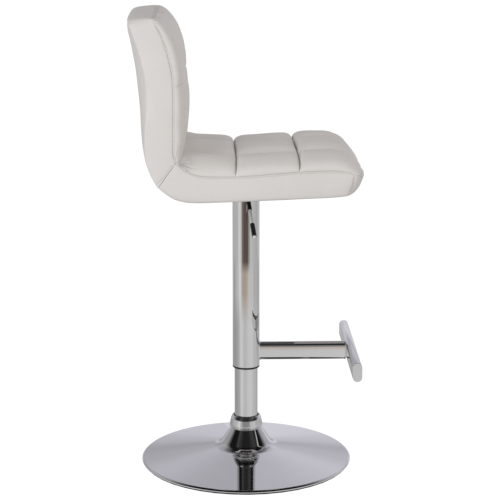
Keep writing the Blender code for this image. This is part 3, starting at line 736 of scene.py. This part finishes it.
class Cushion:
    """A stuffed closed form on a box of grid lines: i across, j along the face, k through the depth.

    k = last is the quilted face, j = 0 is the mitred end where seat and back meet.
    """

    def __init__(self, spec):
        self.spec = spec
        self.columns = spec["columns"]
        self.face_edge, _ = through(spec["face_edge"])
        self.face_mid, self.run = through(spec["face_mid"])
        self.under_edge, _ = through(spec["under_edge"])
        self.under_mid, _ = through(spec["under_mid"])
        half = spec["half_width"]
        self.x = np.array(spaced([-half, *self.columns, half], 0.0060))
        self.s = np.array(spaced([0.0, *[r * self.run for r in spec["rows"]], self.run], 0.0055)) / self.run
        self.c = np.array(spaced([0.0, spec["depth"]], 0.0080)) / spec["depth"]
        self.build()

    def place(self, x, s, c):
        """Where the unstuffed cover runs: x across, and the shares s along and c through the thickness."""
        spec = self.spec
        half, radius = spec["half_width"], spec["plan_corner"]
        # The two free corners are rounded: the square beside each one is drawn in to a quarter disc.
        past_side = np.maximum(0.0, np.abs(x) - (half - radius))
        past_end = np.maximum(0.0, s * self.run - (self.run - radius))
        far = np.maximum(np.hypot(past_side, past_end), 1e-9)
        pull = np.where(past_side * past_end > 0, np.maximum(past_side, past_end) / far, 1.0)
        x = np.sign(x) * (np.minimum(np.abs(x), half - radius) + past_side * pull)
        s = (np.minimum(s * self.run, self.run - radius) + past_end * pull) / self.run
        side = np.abs(x) / half
        along_edge = np.interp(s, [0.0, *spec["rows"], 1.0], [0.0, *spec["edge_rows"], 1.0])
        # Across the outer columns the face rolls over to the border seam as part of an ellipse.
        outer = max(self.columns)
        turn = np.clip((np.abs(x) - outer) / (half - outer), 0.0, 1.0) * math.pi / 2
        rolled = np.where(turn > 0, np.sign(x) * (outer + (half - outer) * np.sin(turn)), x)
        drop = (1 - np.cos(turn))[:, None]
        top = self.face_mid(s) * (1 - drop) + self.face_edge(along_edge) * drop
        crown = (side ** spec["under_crown"])[:, None]
        low = self.under_mid(s) * (1 - crown) + self.under_edge(s) * crown
        profile = low + (top - low) * c[:, None]
        reach = np.maximum(0.0, (s - spec["bow_from"]) / (1 - spec["bow_from"])) ** spec["bow_rise"]
        bow = spec["end_bow"] * (1 - side ** spec["bow_plan"]) * reach * c
        across = x + (rolled - x) * c**3
        bow_y, bow_z = spec["bow_axis"]
        return np.stack([across, profile[:, 0] + bow_y * bow, profile[:, 1] + bow_z * bow], 1)

    def build(self):
        ni, nj, nk = len(self.x), len(self.s), len(self.c)
        keys, index = [], {}
        for i in range(ni):
            for j in range(nj):
                for k in range(nk):
                    if i in (0, ni - 1) or j in (0, nj - 1) or k in (0, nk - 1):
                        index[i, j, k] = len(keys)
                        keys.append((i, j, k))
        self.keys, self.index = np.array(keys), index
        i, j, k = self.keys.T
        self.points = self.place(self.x[i], self.s[j], self.c[k])
        self.faces = []

        def quad(*corners):
            self.faces.append(tuple(index[corner] for corner in corners))

        for i in range(ni - 1):
            for j in range(nj - 1):
                quad((i, j, nk - 1), (i + 1, j, nk - 1), (i + 1, j + 1, nk - 1), (i, j + 1, nk - 1))
                quad((i, j, 0), (i, j + 1, 0), (i + 1, j + 1, 0), (i + 1, j, 0))
            for k in range(nk - 1):
                quad((i, 0, k), (i + 1, 0, k), (i + 1, 0, k + 1), (i, 0, k + 1))
                quad((i, nj - 1, k), (i, nj - 1, k + 1), (i + 1, nj - 1, k + 1), (i + 1, nj - 1, k))
        for j in range(nj - 1):
            for k in range(nk - 1):
                quad((0, j, k), (0, j, k + 1), (0, j + 1, k + 1), (0, j + 1, k))
                quad((ni - 1, j, k), (ni - 1, j + 1, k), (ni - 1, j + 1, k + 1), (ni - 1, j, k + 1))
        self.orient()

    def orient(self):
        """Turns the faces so that they point out."""
        tris = self.points[np.array(self.faces)[:, :3]]
        if np.linalg.det(tris - self.points.mean(0)).sum() < 0:
            self.faces = [face[::-1] for face in self.faces]

    def normals(self):
        quads = self.points[np.array(self.faces)]
        cross = np.cross(quads[:, 2] - quads[:, 0], quads[:, 3] - quads[:, 1])
        result = np.zeros_like(self.points)
        for corner in range(4):
            np.add.at(result, np.array(self.faces)[:, corner], cross)
        return result / np.maximum(np.linalg.norm(result, axis=1, keepdims=True), 1e-12)

    def neighbours(self):
        edges = set()
        for face in self.faces:
            for a, b in zip(face, face[1:] + face[:1]):
                edges.add((min(a, b), max(a, b)))
        return np.array(sorted(edges))

    def relax(self, weight, rounds):
        """Smooths the points, each by its weight from 0, held, to 1."""
        edges = self.neighbours()
        degree = np.bincount(edges.ravel(), minlength=len(self.points))[:, None]
        for _ in range(rounds):
            total = np.zeros_like(self.points)
            np.add.at(total, edges[:, 0], self.points[edges[:, 1]])
            np.add.at(total, edges[:, 1], self.points[edges[:, 0]])
            self.points += (total / degree - self.points) * (weight[:, None] * 0.6)

    def stuff(self):
        """Fills the squares, rounds the folded edges, sinks the seams and adds the leather's puckers."""
        spec = self.spec
        half = spec["half_width"]
        i, j, k = self.keys.T
        ni, nj, nk = len(self.x), len(self.s), len(self.c)
        x, s, c = self.x[i], self.s[j] * self.run, self.c[k] * spec["depth"]
        on_face, on_under = k == nk - 1, k == 0
        on_side = (i == 0) | (i == ni - 1)
        on_end, on_mitre = j == nj - 1, j == 0
        to_side, to_end = half - np.abs(x), self.run - s
        # Nowhere is a distance that no seam reaches.
        nowhere = 9.0
        seam_width, row_width, mitre_width = 0.0013, 0.0012, 0.0015
        pucker_height, slack_height = 0.0005, 0.0011

        # Folded edges without a seam are rounded by smoothing round them.
        fold = spec["fold"]
        to_fold = np.where(on_side | on_end, c, np.where(on_under, np.minimum(to_side, to_end), nowhere))
        weight = np.clip(1 - to_fold / fold, 0, 1)
        weight[on_mitre & ~on_under] = 0.0
        self.relax(np.sqrt(weight), spec["fold_rounds"])

        normals = self.normals()
        # Seat and back share one direction along their crease, so that they stay joined.
        crease = on_mitre & on_face
        normals[crease] = (0.0, -1.0, 1.0)
        column_seams = np.array([-half, *self.columns, half])
        row_seams = np.array([-spec["rows"][0], *spec["rows"], 1.0]) * self.run
        to_column = np.abs(x[:, None] - column_seams[None]).min(1)
        to_row = np.abs(s[:, None] - row_seams[None]).min(1)
        column_half = np.interp(x, (column_seams[1:] + column_seams[:-1]) / 2, np.diff(column_seams) / 2)
        row_half = np.interp(s, (row_seams[1:] + row_seams[:-1]) / 2, np.diff(row_seams) / 2)
        rise, seam = np.zeros(len(x)), np.zeros(len(x))

        # Quilted face.
        inner_column = np.abs(x[:, None] - np.array(self.columns)[None]).min(1)
        inner_row = np.abs(s[:, None] - (np.array(spec["rows"]) * self.run)[None]).min(1)
        # The cross rows weaken over the outer columns, and end before the border seam.
        kept = 1 - (1 - spec["outer_rows"]) * np.clip((np.abs(x) - max(self.columns)) / 0.03, 0, 1)
        fade = kept * np.clip((to_side - 0.008) / 0.024, 0, 1) ** 0.6
        cross_fill = pillow(to_row, row_half, spec["hard_along"])
        cross_fill = np.where(inner_row <= to_row + 1e-9, 1 - (1 - cross_fill) * kept, cross_fill)
        fill = pillow(to_column, column_half, spec["hard_across"]) * cross_fill
        taper = 1 - spec["end_flat"] * np.clip((s - self.run + 0.060) / 0.035, 0, 1)
        rise[on_face] = (spec["puff"] * fill * taper * (1 + spec["lean"] * x / half))[on_face]
        down_line = sewn(inner_column, seam_width)
        cross_line = sewn(inner_row, row_width) * fade
        crease_line = np.maximum(down_line, cross_line)
        valley = np.maximum(0.45 * np.exp(-inner_column / 0.012), 0.18 * np.exp(-inner_row / 0.005) * fade)
        rise[on_face] -= (spec["channel"] * (crease_line + valley))[on_face]
        # The quilting lines' mask also darkens the leather in the channels, as painted shade.
        seam[on_face] = np.maximum(down_line, cross_line * kept**2)[on_face]

        # Border panels stand out a little between their seams.
        border = pillow(np.minimum(c, spec["depth"] - c), spec["depth"] / 2, 2.4)
        panel = on_side & ~on_face
        rise[panel] += (spec["border_puff"] * border * pillow(s, 0.05, 2.4))[panel]
        panel = on_end & ~on_face & ~on_side
        rise[panel] += (spec["end_puff"] * border * pillow(to_side, 0.05, 2.4))[panel]

        # Seams: the border seam round the face, the mitre, and the upright corner seams.
        down_border = np.where(on_under, nowhere, spec["depth"] - c)
        to_border = np.where(on_face, np.minimum(to_side, to_end), down_border)
        upright = np.where(on_side, to_end, np.where(on_end, to_side, nowhere))
        upright = np.where(on_face | on_under, nowhere, upright)
        lines = sewn(to_border, seam_width, 1.4) + spec["upright"] * sewn(upright, seam_width, 1.4)
        beside = np.exp(-(((to_border - 0.0022) / 0.0016) ** 2))
        mitre = sewn(s, mitre_width)
        rise -= spec["seam_sink"] * np.minimum(lines, 1.0) + spec["mitre_sink"] * mitre - 0.0004 * beside
        # The border seams and the mitre crease add to the same mask, as painted shade there.
        seam = np.maximum(seam, np.maximum(np.minimum(lines, 1.0) * 0.30, mitre * spec["mitre_shade"]))

        # Puckers run square to the seams and die out within a few millimetres; slack folds are broader.
        beside_rows = 0.8 * np.exp(-inner_row / 0.012) + 0.7 * np.exp(-inner_column / 0.012)
        reach = np.exp(-to_border / 0.009) + beside_rows * on_face
        along = np.where(on_end & ~on_side, x, s)
        for n, point in enumerate(self.points):
            pucker = noise.noise(Vector((along[n] * 95.0, point[0] * 22.0 + 7.0, c[n] * 22.0)))
            slack = noise.noise(Vector((point[0] * 14.0, point[1] * 14.0, point[2] * 14.0 + spec["seed"])))
            slack += 0.5 * noise.noise(Vector((point[0] * 34.0, point[1] * 34.0 + 3.0, point[2] * 34.0)))
            calm = 0.3 if on_under[n] or on_mitre[n] else 1.0
            puckered = pucker_height * pucker * min(reach[n], 1.0)
            slackened = slack_height * slack * min(1.0, 0.3 + fill[n])
            rise[n] += calm * (puckered + slackened)
        self.points += normals * rise[:, None]
        self.seam = np.clip(seam, 0, 1)
        return self

    def gather(self):
        """Folds that fan out of the corner where the crease meets the border seam."""
        spec = self.spec
        half = spec["half_width"]
        i, j, k = self.keys.T
        x, s, c = self.x[i], self.s[j] * self.run, self.c[k] * spec["depth"]
        on_face, on_side = k == len(self.c) - 1, (i == 0) | (i == len(self.x) - 1)
        down = np.where(on_face, half - abs(x), -(spec["depth"] - c) * 0.8)
        distance = np.hypot(s, down)
        angle = np.arctan2(down, s + 1e-6)
        clear, onset = 0.004, 0.012
        window = np.clip((distance - clear) / onset, 0, 1)
        window = window * np.clip(1 - distance / spec["gather_reach"], 0, 1)
        window = window * (on_face | on_side) * np.clip((angle + 0.5) * 2, 0, 1)
        folds = spec["gather"] * window * np.sin(angle * spec["gather_count"] + 0.6)
        self.points += self.normals() * folds[:, None]
        self.fan, self.gathered = angle, window * spec["fine_folds"]


def swell(cushion, name, pressure, limit):
    """A short cloth simulation: the seams are held, and the pressure stretches the leather between them."""
    mesh = bpy.data.meshes.new(name)
    mesh.from_pydata([tuple(p) for p in cushion.points], [], cushion.faces)
    body = added(name, mesh)
    _, j, k = cushion.keys.T
    near_mitre = np.clip(1.8 - cushion.s[j] * cushion.run / 0.008, 0, 1)
    hold = np.maximum(np.clip(cushion.seam * 1.6, 0, 1), near_mitre)
    hold[k == 0] = 1.0
    group = body.vertex_groups.new(name="held")
    for n, value in enumerate(hold):
        group.add([n], float(value), "REPLACE")
    cloth = body.modifiers.new("cloth", "CLOTH")
    cloth.settings.quality = 6
    cloth.settings.mass = 0.25
    cloth.settings.tension_stiffness = 18
    cloth.settings.compression_stiffness = 6
    cloth.settings.shear_stiffness = 8
    cloth.settings.bending_stiffness = 1.2
    cloth.settings.vertex_group_mass = "held"
    cloth.settings.use_pressure = True
    cloth.settings.uniform_pressure_force = pressure
    # A negative shrinkage lets the leather grow by that share.
    cloth.settings.shrink_min = -0.018
    cloth.settings.effector_weights.gravity = 0.0
    cloth.collision_settings.use_collision = False
    cloth.point_cache.frame_start = 1
    last_frame = 20
    cloth.point_cache.frame_end = last_frame
    scene = bpy.context.scene
    for step in range(1, last_frame + 1):
        scene.frame_set(step)
    evaluated = body.evaluated_get(bpy.context.evaluated_depsgraph_get())
    moved = np.array([v.co for v in evaluated.data.vertices])
    scene.frame_set(1)
    bpy.data.objects.remove(body)
    shift = moved - cushion.points
    size = np.linalg.norm(shift, axis=1, keepdims=True)
    shift *= np.minimum(1.0, limit / np.maximum(size, 1e-9))
    # The side panels give less, and the stretch is evened out between neighbours, but for the held seams.
    shift[k < len(cushion.c) - 1] *= 0.15
    cushion.points, start = shift, cushion.points
    cushion.relax(1.0 - hold, 10)
    cushion.points = start + cushion.points


def cushion_piece(cushion, name, node):
    made = piece(name, cushion.points, cushion.faces, LEATHER, "carriage", (node,), 180.0)
    for label, values in (("seam", cushion.seam), ("fan", cushion.fan), ("gathered", cushion.gathered)):
        layer = made.data.attributes.new(label, "FLOAT", "POINT")
        layer.data.foreach_set("value", values.astype(np.float32))
    smooth = made.modifiers.new("smooth", "SUBSURF")
    smooth.levels = smooth.render_levels = 1
    return made


# Outlines are (y, z), each from the mitre to the far end.
SEAT_UNDERSIDE = [
    (0.1815, 0.6372), (0.1520, 0.6135), (0.1250, 0.6068), (0.0980, 0.6062),
    (0.0500, 0.6075), (-0.0200, 0.6098), (-0.1000, 0.6130), (-0.1650, 0.6155),
]
SEAT = {
    "half_width": 0.1925,
    "columns": [-0.080, 0.080],
    # Where the sewn rows cross, as shares of the face's length at its middle and at its border.
    "rows": [0.314, 0.638],
    "edge_rows": [0.344, 0.692],
    "depth": 0.052,
    "face_edge": [
        (0.1450, 0.6890), (0.1290, 0.6800), (0.1190, 0.6715), (0.1045, 0.6650),
        (0.0860, 0.6620), (0.0660, 0.6608), (0.0322, 0.6608), (0.0060, 0.6613),
        (-0.0300, 0.6635), (-0.0656, 0.6665), (-0.1036, 0.6695), (-0.1548, 0.6710),
        (-0.1896, 0.6700), (-0.2140, 0.6670),
    ],
    "face_mid": [
        (0.1405, 0.6925), (0.0900, 0.6890), (0.0200, 0.6865), (-0.0500, 0.6895),
        (-0.0960, 0.6930), (-0.1230, 0.6955), (-0.1592, 0.6965), (-0.1802, 0.6930),
        (-0.1934, 0.6885), (-0.2063, 0.6750), (-0.2190, 0.6575),
    ],
    "under_edge": [*SEAT_UNDERSIDE, (-0.2060, 0.6195)],
    "under_mid": [*SEAT_UNDERSIDE, (-0.2230, 0.6195)],
    # How sharply the underside changes from its middle to its edge, and the radius of the free corners.
    "under_crown": 4.0,
    "plan_corner": 0.016,
    # How far the far end bows out in the middle, from which share of the length, and how it grows.
    "end_bow": 0.0180,
    "bow_from": 0.50,
    "bow_plan": 6.0,
    "bow_rise": 1.0,
    "bow_axis": (-1.0, 0.0),
    # How far the rounding of the folded edges without a seam reaches, and the rounds that smooth them.
    "fold": 0.020,
    "fold_rounds": 24,
    # The stuffed squares: how hard they are, their lean to one side, their rise, how much less they
    # rise at the far end, how deep their channels are and what is left of the rows in the outer columns.
    "hard_across": 2.8,
    "hard_along": 10.0,
    "lean": 0.22,
    "puff": 0.0105,
    "end_flat": 0.65,
    "channel": 0.0050,
    "outer_rows": 0.9,
    # The border: its corner seams, how far its panels stand out, how deep its seams sink and the
    # painted shade in the mitre crease.
    "upright": 0.8,
    "border_puff": 0.0026,
    "end_puff": 0.0050,
    "seam_sink": 0.0008,
    "mitre_sink": 0.0003,
    "mitre_shade": 0.32,
    # Folds at the crease: their height, their number, how far they reach and the share of fine ones.
    "gather": 0.0020,
    "gather_count": 7.0,
    "gather_reach": 0.055,
    "fine_folds": 1.0,
    # Where the broad slack folds are taken from in the noise.
    "seed": 1.0,
}
BACK = {
    **SEAT,
    "rows": [0.520],
    "edge_rows": [0.510],
    "depth": 0.062,
    "face_edge": [
        (0.1451, 0.6893), (0.1495, 0.7100), (0.1492, 0.7407), (0.1487, 0.7906),
        (0.1486, 0.8403), (0.1511, 0.8699), (0.1593, 0.9067), (0.1688, 0.9361),
        (0.1788, 0.9580), (0.1880, 0.9748),
    ],
    "face_mid": [
        (0.1405, 0.6925), (0.1368, 0.7180), (0.1335, 0.7450), (0.1305, 0.7800),
        (0.1307, 0.8100), (0.1330, 0.8450), (0.1360, 0.8700), (0.1410, 0.9060),
        (0.1535, 0.9430), (0.1690, 0.9650), (0.1865, 0.9745),
    ],
    "under_edge": [
        (0.1815, 0.6372), (0.1960, 0.6640), (0.2060, 0.7000), (0.2060, 0.7530),
        (0.2020, 0.7910), (0.2010, 0.8250), (0.2040, 0.8640), (0.2170, 0.9140),
        (0.2290, 0.9480), (0.2378, 0.9700),
    ],
    "under_mid": [
        (0.1815, 0.6372), (0.1980, 0.6600), (0.2130, 0.7000), (0.2180, 0.7400),
        (0.2200, 0.7800), (0.2240, 0.8250), (0.2290, 0.8700), (0.2380, 0.9220),
        (0.2430, 0.9490), (0.2415, 0.9725),
    ],
    "under_crown": 3.0,
    "plan_corner": 0.020,
    "end_bow": 0.0016,
    "bow_from": 0.80,
    "bow_plan": 2.0,
    "bow_rise": 2.0,
    "bow_axis": (0.0, 1.0),
    "fold": 0.012,
    "fold_rounds": 10,
    "hard_along": 8.0,
    "lean": 0.0,
    "puff": 0.0095,
    "end_flat": 0.30,
    "channel": 0.0060,
    "outer_rows": 0.22,
    "upright": 0.0,
    "end_puff": 0.0028,
    "gather": 0.0006,
    "gather_reach": 0.050,
    "fine_folds": 0.25,
    "seed": 5.0,
}


def tuck_under_seat(cushion):
    """The cover wraps over the edge of the shell, so the underside is hollow where the dust cover lies."""
    low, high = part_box("dust_cover")
    wrap = 0.014
    points = cushion.points
    x, y = np.abs(points[:, 0]), points[:, 1]
    inside = np.minimum(high.x - x, np.minimum(high.y - y, y - low.y))
    share = np.clip((inside + wrap) / wrap, 0, 1)
    share = share * share * (3 - 2 * share)
    flat = high.z + 0.0004
    under = cushion.keys[:, 2] == 0
    points[under, 2] += ((flat - points[:, 2]) * share)[under]


def stitch_row(tree, line, lift, length, gap, radius, sides=6):
    """Points and faces of stitches laid along a line on the surface that the tree holds."""
    line = np.array(line, float)
    run = np.concatenate([[0.0], np.cumsum(np.linalg.norm(np.diff(line, axis=0), axis=1))])
    points, faces = [], []
    count = int(run[-1] / (length + gap))
    for n in range(count):
        start = n * (length + gap)
        rings = []
        for share in (0.0, 0.14, 0.5, 0.86, 1.0):
            at = start + length * share
            place = Vector([np.interp(at, run, line[:, axis]) for axis in range(3)])
            ahead = Vector([np.interp(at + 0.0005, run, line[:, axis]) for axis in range(3)]) - place
            if ahead.length < 1e-7:
                ahead = place - Vector([np.interp(at - 0.0005, run, line[:, axis]) for axis in range(3)])
            near, normal, _, _ = tree.find_nearest(place)
            if near is None:
                break
            height = lift * (1 - (2 * share - 1) ** 4) - radius * 0.55 * (2 * share - 1) ** 4
            ahead.normalize()
            across = ahead.cross(normal).normalized()
            size = radius * (0.25 if share in (0.0, 1.0) else 1.0)
            centre = near + normal * height
            rings.append(ring(centre, across, normal, size, sides))
        if len(rings) < 5:
            continue
        new_points, new_faces = bridge(rings)
        first = len(points)
        points += new_points
        faces += [tuple(first + v for v in face) for face in new_faces]
    return points, faces


def surface_of(made):
    graph = bpy.context.evaluated_depsgraph_get()
    evaluated = made.evaluated_get(graph)
    mesh = evaluated.to_mesh()
    points = [vertex.co.copy() for vertex in mesh.vertices]
    tree = BVHTree.FromPolygons(points, [tuple(polygon.vertices) for polygon in mesh.polygons])
    evaluated.to_mesh_clear()
    return tree


def stitch_cushion(cushion, made, name, beside_mitre):
    """Top stitching: rows on both sides of the border seam, beside the mitre and down the corners."""
    tree = surface_of(made)
    ni, nj, nk = len(cushion.x), len(cushion.s), len(cushion.c)
    depth = cushion.spec["depth"]

    def nearest(places, wanted):
        return int(np.abs(np.asarray(places) - wanted).argmin())

    k_line = nearest(cushion.c * depth, depth - 0.0025)
    j_mitre = nearest(cushion.s * cushion.run, 0.0040)
    j_line = nearest(cushion.s * cushion.run, cushion.run - 0.0025)
    i_line = nearest(cushion.x, cushion.x[0] + 0.0025)
    points, faces = [], []

    def lay(keys):
        line = [cushion.points[cushion.index[key]] for key in keys]
        new_points, new_faces = stitch_row(tree, line, lift=0.0002, length=0.0038, gap=0.0014, radius=0.0004)
        first = len(points)
        points.extend(new_points)
        faces.extend(tuple(first + v for v in face) for face in new_faces)

    for i, inner in ((0, i_line), (ni - 1, ni - 1 - i_line)):
        lay([(i, j, k_line) for j in range(2, nj - 1)])
        lay([(inner, j, nk - 1) for j in range(3, j_line + 1)])
        if beside_mitre:
            lay([(i, j_mitre, k) for k in range(1, k_line)])
        if cushion.spec["upright"] > 0:
            lay([(i, j_line, k) for k in range(2, k_line)])
    lay([(i, nj - 1, k_line) for i in range(1, ni - 1)])
    lay([(i, j_line, nk - 1) for i in range(i_line, ni - i_line)])
    return piece(name, points, faces, THREAD, "carriage", (), 60.0)


def build_upholstery():
    seat = Cushion(SEAT).stuff()
    back = Cushion(BACK).stuff()
    pressure, most_stretch = 2.0, 0.003
    swell(seat, "seat_cloth", pressure, most_stretch)
    swell(back, "back_cloth", pressure, most_stretch)
    seat.gather()
    back.gather()
    tuck_under_seat(seat)
    seat_piece = cushion_piece(seat, "seat_upholstery", "seat_cushion")
    back_piece = cushion_piece(back, "back_upholstery", "back_cushion")
    stitch_cushion(seat, seat_piece, "seat_stitching", False)
    stitch_cushion(back, back_piece, "back_stitching", True)


# ------------------------------------------------------------------ studio
# What the chrome mirrors differs from what lights the leather and from the white that the camera sees.


def around(m, x, y):
    """The direction round the stool from 0 to 1: 0.5 is the camera's side, and more is to its right."""
    turn = m.math("ARCTAN2", m.math("MULTIPLY", y, -1.0), m.math("MULTIPLY", x, -1.0))
    return m.math("ADD", m.math("DIVIDE", turn, TAU), 0.5)


def degrees(*pairs):
    """Ramp stops from (degrees from the camera's side, colour)."""
    return [(angle / 360.0 + 0.5, color) for angle, color in pairs]


NEAR_FLOOR = degrees(
    (-180, 0.42), (-140, 0.38), (-100, 0.38), (-71, 0.46), (-47, 0.70), (-36, 0.70),
    (-18, 0.58), (0, (0.60, 0.585, 0.565)), (15, 0.66), (47, 0.69), (75, 0.58),
    (99, 0.565), (116, 0.48), (150, 0.46), (180, 0.42),
)
FAR_FLOOR = degrees(
    (-180, 0.50), (-150, 0.62), (-136, 0.457), (-117, 0.40), (-90, 0.55), (-68, 0.63),
    (-57, 0.79), (-48, 0.79), (-39, (0.53, 0.50, 0.47)), (-30, (0.48, 0.43, 0.37)),
    (-12, (0.455, 0.385, 0.325)), (4, (0.50, 0.43, 0.37)), (20, (0.64, 0.58, 0.52)),
    (30, 0.62), (55, 0.62), (75, 0.49), (88, 0.515), (111, 0.476), (128, 0.427),
    (152, 0.66), (180, 0.50),
)
BEYOND = degrees(
    (-180, (0.60, 0.59, 0.65)), (-140, 0.50), (-80, 0.52), (-60, 0.74), (-46, 0.66),
    (-32, (0.20, 0.17, 0.145)), (-14, (0.118, 0.086, 0.074)), (12, (0.118, 0.086, 0.074)),
    (24, (0.36, 0.34, 0.32)), (38, 0.60), (60, 0.55), (100, 0.48), (140, 0.62),
    (180, (0.66, 0.65, 0.71)),
)
# What the camera sees behind and below the stool.
WHITE = (1.05, 1.05, 1.05)


def ray_switch(m, seen, mirrored, diffuse):
    """One colour for the camera, one for mirrored rays, and one for all the others."""
    rays = m.node("LightPath")
    other = m.mix(rays.outputs["Is Glossy Ray"], diffuse, mirrored)
    return m.mix(rays.outputs["Is Camera Ray"], other, seen)


def glow(m, color, kind="Emission", output="OutputMaterial"):
    """Replaces the nodes that Blender starts with by one that gives off the colour."""
    started_with = ("OUTPUT_MATERIAL", "OUTPUT_WORLD", "BACKGROUND", "BSDF_PRINCIPLED")
    for node in [n for n in m.tree.nodes if n.type in started_with]:
        m.tree.nodes.remove(node)
    shader = m.node(kind)
    m.link(color, shader.inputs["Color"])
    m.link(shader.outputs[0], m.node(output).inputs["Surface"])


def build_world():
    m = Nodes("studio", world=True)
    bpy.context.scene.world = m.material
    x, y, z = m.split(m.place)
    angle = around(m, x, y)
    rise = m.math("MULTIPLY", m.math("ARCSINE", z), 2.0 / math.pi)
    backdrop = m.ramp(
        angle,
        degrees(
            (-180, (0.62, 0.615, 0.67)), (-150, (0.52, 0.515, 0.55)), (-100, 0.47),
            (-66, 0.62), (-52, 0.85), (-36, 0.55), (-20, 0.30), (16, 0.32), (34, 0.62),
            (56, 0.66), (80, 0.50), (120, (0.60, 0.59, 0.63)), (150, (0.72, 0.71, 0.78)),
            (180, (0.70, 0.69, 0.75)),
        ),
    )
    low_band = [(0.0, 1.0), (0.04, 1.0), (0.11, 0.86), (0.16, 0.70), (0.22, 0.78)]
    high_band = [(0.30, 0.92), (0.45, 0.75), (0.58, 0.30), (0.70, 0.04)]
    behind = m.ramp(rise, low_band + high_band)
    before = m.ramp(rise, [(0.0, 1.0), (0.10, 0.9), (0.20, 0.10), (0.30, 0.015), (0.70, 0.015)])
    one_side = [(48, 0.9), (62, 1.0), (86, 1.0), (120, 0.0)]
    other_side = [(-turn, share) for turn, share in reversed(one_side)]
    sides = m.ramp(angle, degrees(*other_side, *one_side))
    mirrored = m.mix(1.0, backdrop, m.mix(sides, behind, before), "MULTIPLY")
    glow(m, ray_switch(m, WHITE, mirrored, (0.42, 0.405, 0.39)), "Background", "OutputWorld")


def build_floor():
    mesh = bpy.data.meshes.new("studio_floor")
    reach, level = 30.0, -0.0005
    corners = [(x * reach, y * reach, level) for x, y in ((-1, -1), (1, -1), (1, 1), (-1, 1))]
    mesh.from_pydata(corners, [], [(0, 1, 2, 3)])
    m = Nodes("white_sweep")
    x, y, _ = m.split(m.place)
    angle = around(m, x, y)
    distance = m.math("SQRT", m.math("ADD", m.math("MULTIPLY", x, x), m.math("MULTIPLY", y, y)))
    near_to_far = m.remap(distance, 0.95, 1.45, 0.0, 1.0)
    far_to_beyond = m.remap(distance, 1.95, 2.35, 0.0, 1.0)
    pool = m.mix(near_to_far, m.ramp(angle, NEAR_FLOOR), m.ramp(angle, FAR_FLOOR))
    mirrored = m.mix(far_to_beyond, pool, m.ramp(angle, BEYOND))
    glow(m, ray_switch(m, WHITE, mirrored, (0.40, 0.392, 0.385)))
    mesh.materials.append(m.material)
    added("studio_floor", mesh)


def area_light(name, place, target, size, power, color=(1.0, 1.0, 1.0)):
    data = bpy.data.lights.new(name, "AREA")
    data.shape = "RECTANGLE"
    data.size, data.size_y = size
    data.energy = power
    data.color = color
    made = added(name, data)
    made.location = place
    made.rotation_euler = (Vector(target) - Vector(place)).to_track_quat("-Z", "Y").to_euler()
    made.visible_camera = False
    made.visible_glossy = False


def build_lights():
    area_light("key", (-3.0, 2.1, 1.2), (0.0, 0.0, 0.75), (1.6, 1.6), 60, (0.975, 0.985, 1.0))
    area_light("front_fill", (-1.6, -3.0, 1.1), (0.0, 0.0, 0.7), (1.4, 1.4), 20, (1.0, 0.955, 0.92))
    area_light("overhead", (0.2, -0.6, 3.2), (0.0, 0.0, 0.6), (2.0, 2.0), 5)


def build_camera():
    """The camera looks at the sitter's right side, from a little behind, from above seat height."""
    azimuth, pitch = math.radians(270 - 1.6), math.radians(12.47)
    distance, height, aside = 3.4435, 1.2304, 0.0085
    away = Vector((math.sin(azimuth), -math.cos(azimuth), 0.0))
    right = Vector((math.cos(azimuth), math.sin(azimuth), 0.0))
    data = bpy.data.cameras.new("camera")
    data.sensor_width = 36.0
    data.lens = 118.8
    data.clip_start, data.clip_end = 0.1, 100.0
    made = added("camera", data)
    made.location = away * distance + right * aside + Vector((0.0, 0.0, height))
    look = -away * math.cos(pitch) + Vector((0.0, 0.0, -math.sin(pitch)))
    made.rotation_euler = look.to_track_quat("-Z", "Y").to_euler()
    bpy.context.scene.camera = made


bpy.context.scene.view_settings.view_transform = "Standard"
dress_cad_nodes()
build_camera()
build_base()
build_column()
build_footrest()
build_lever()
build_upholstery()
build_world()
build_lights()
build_floor()
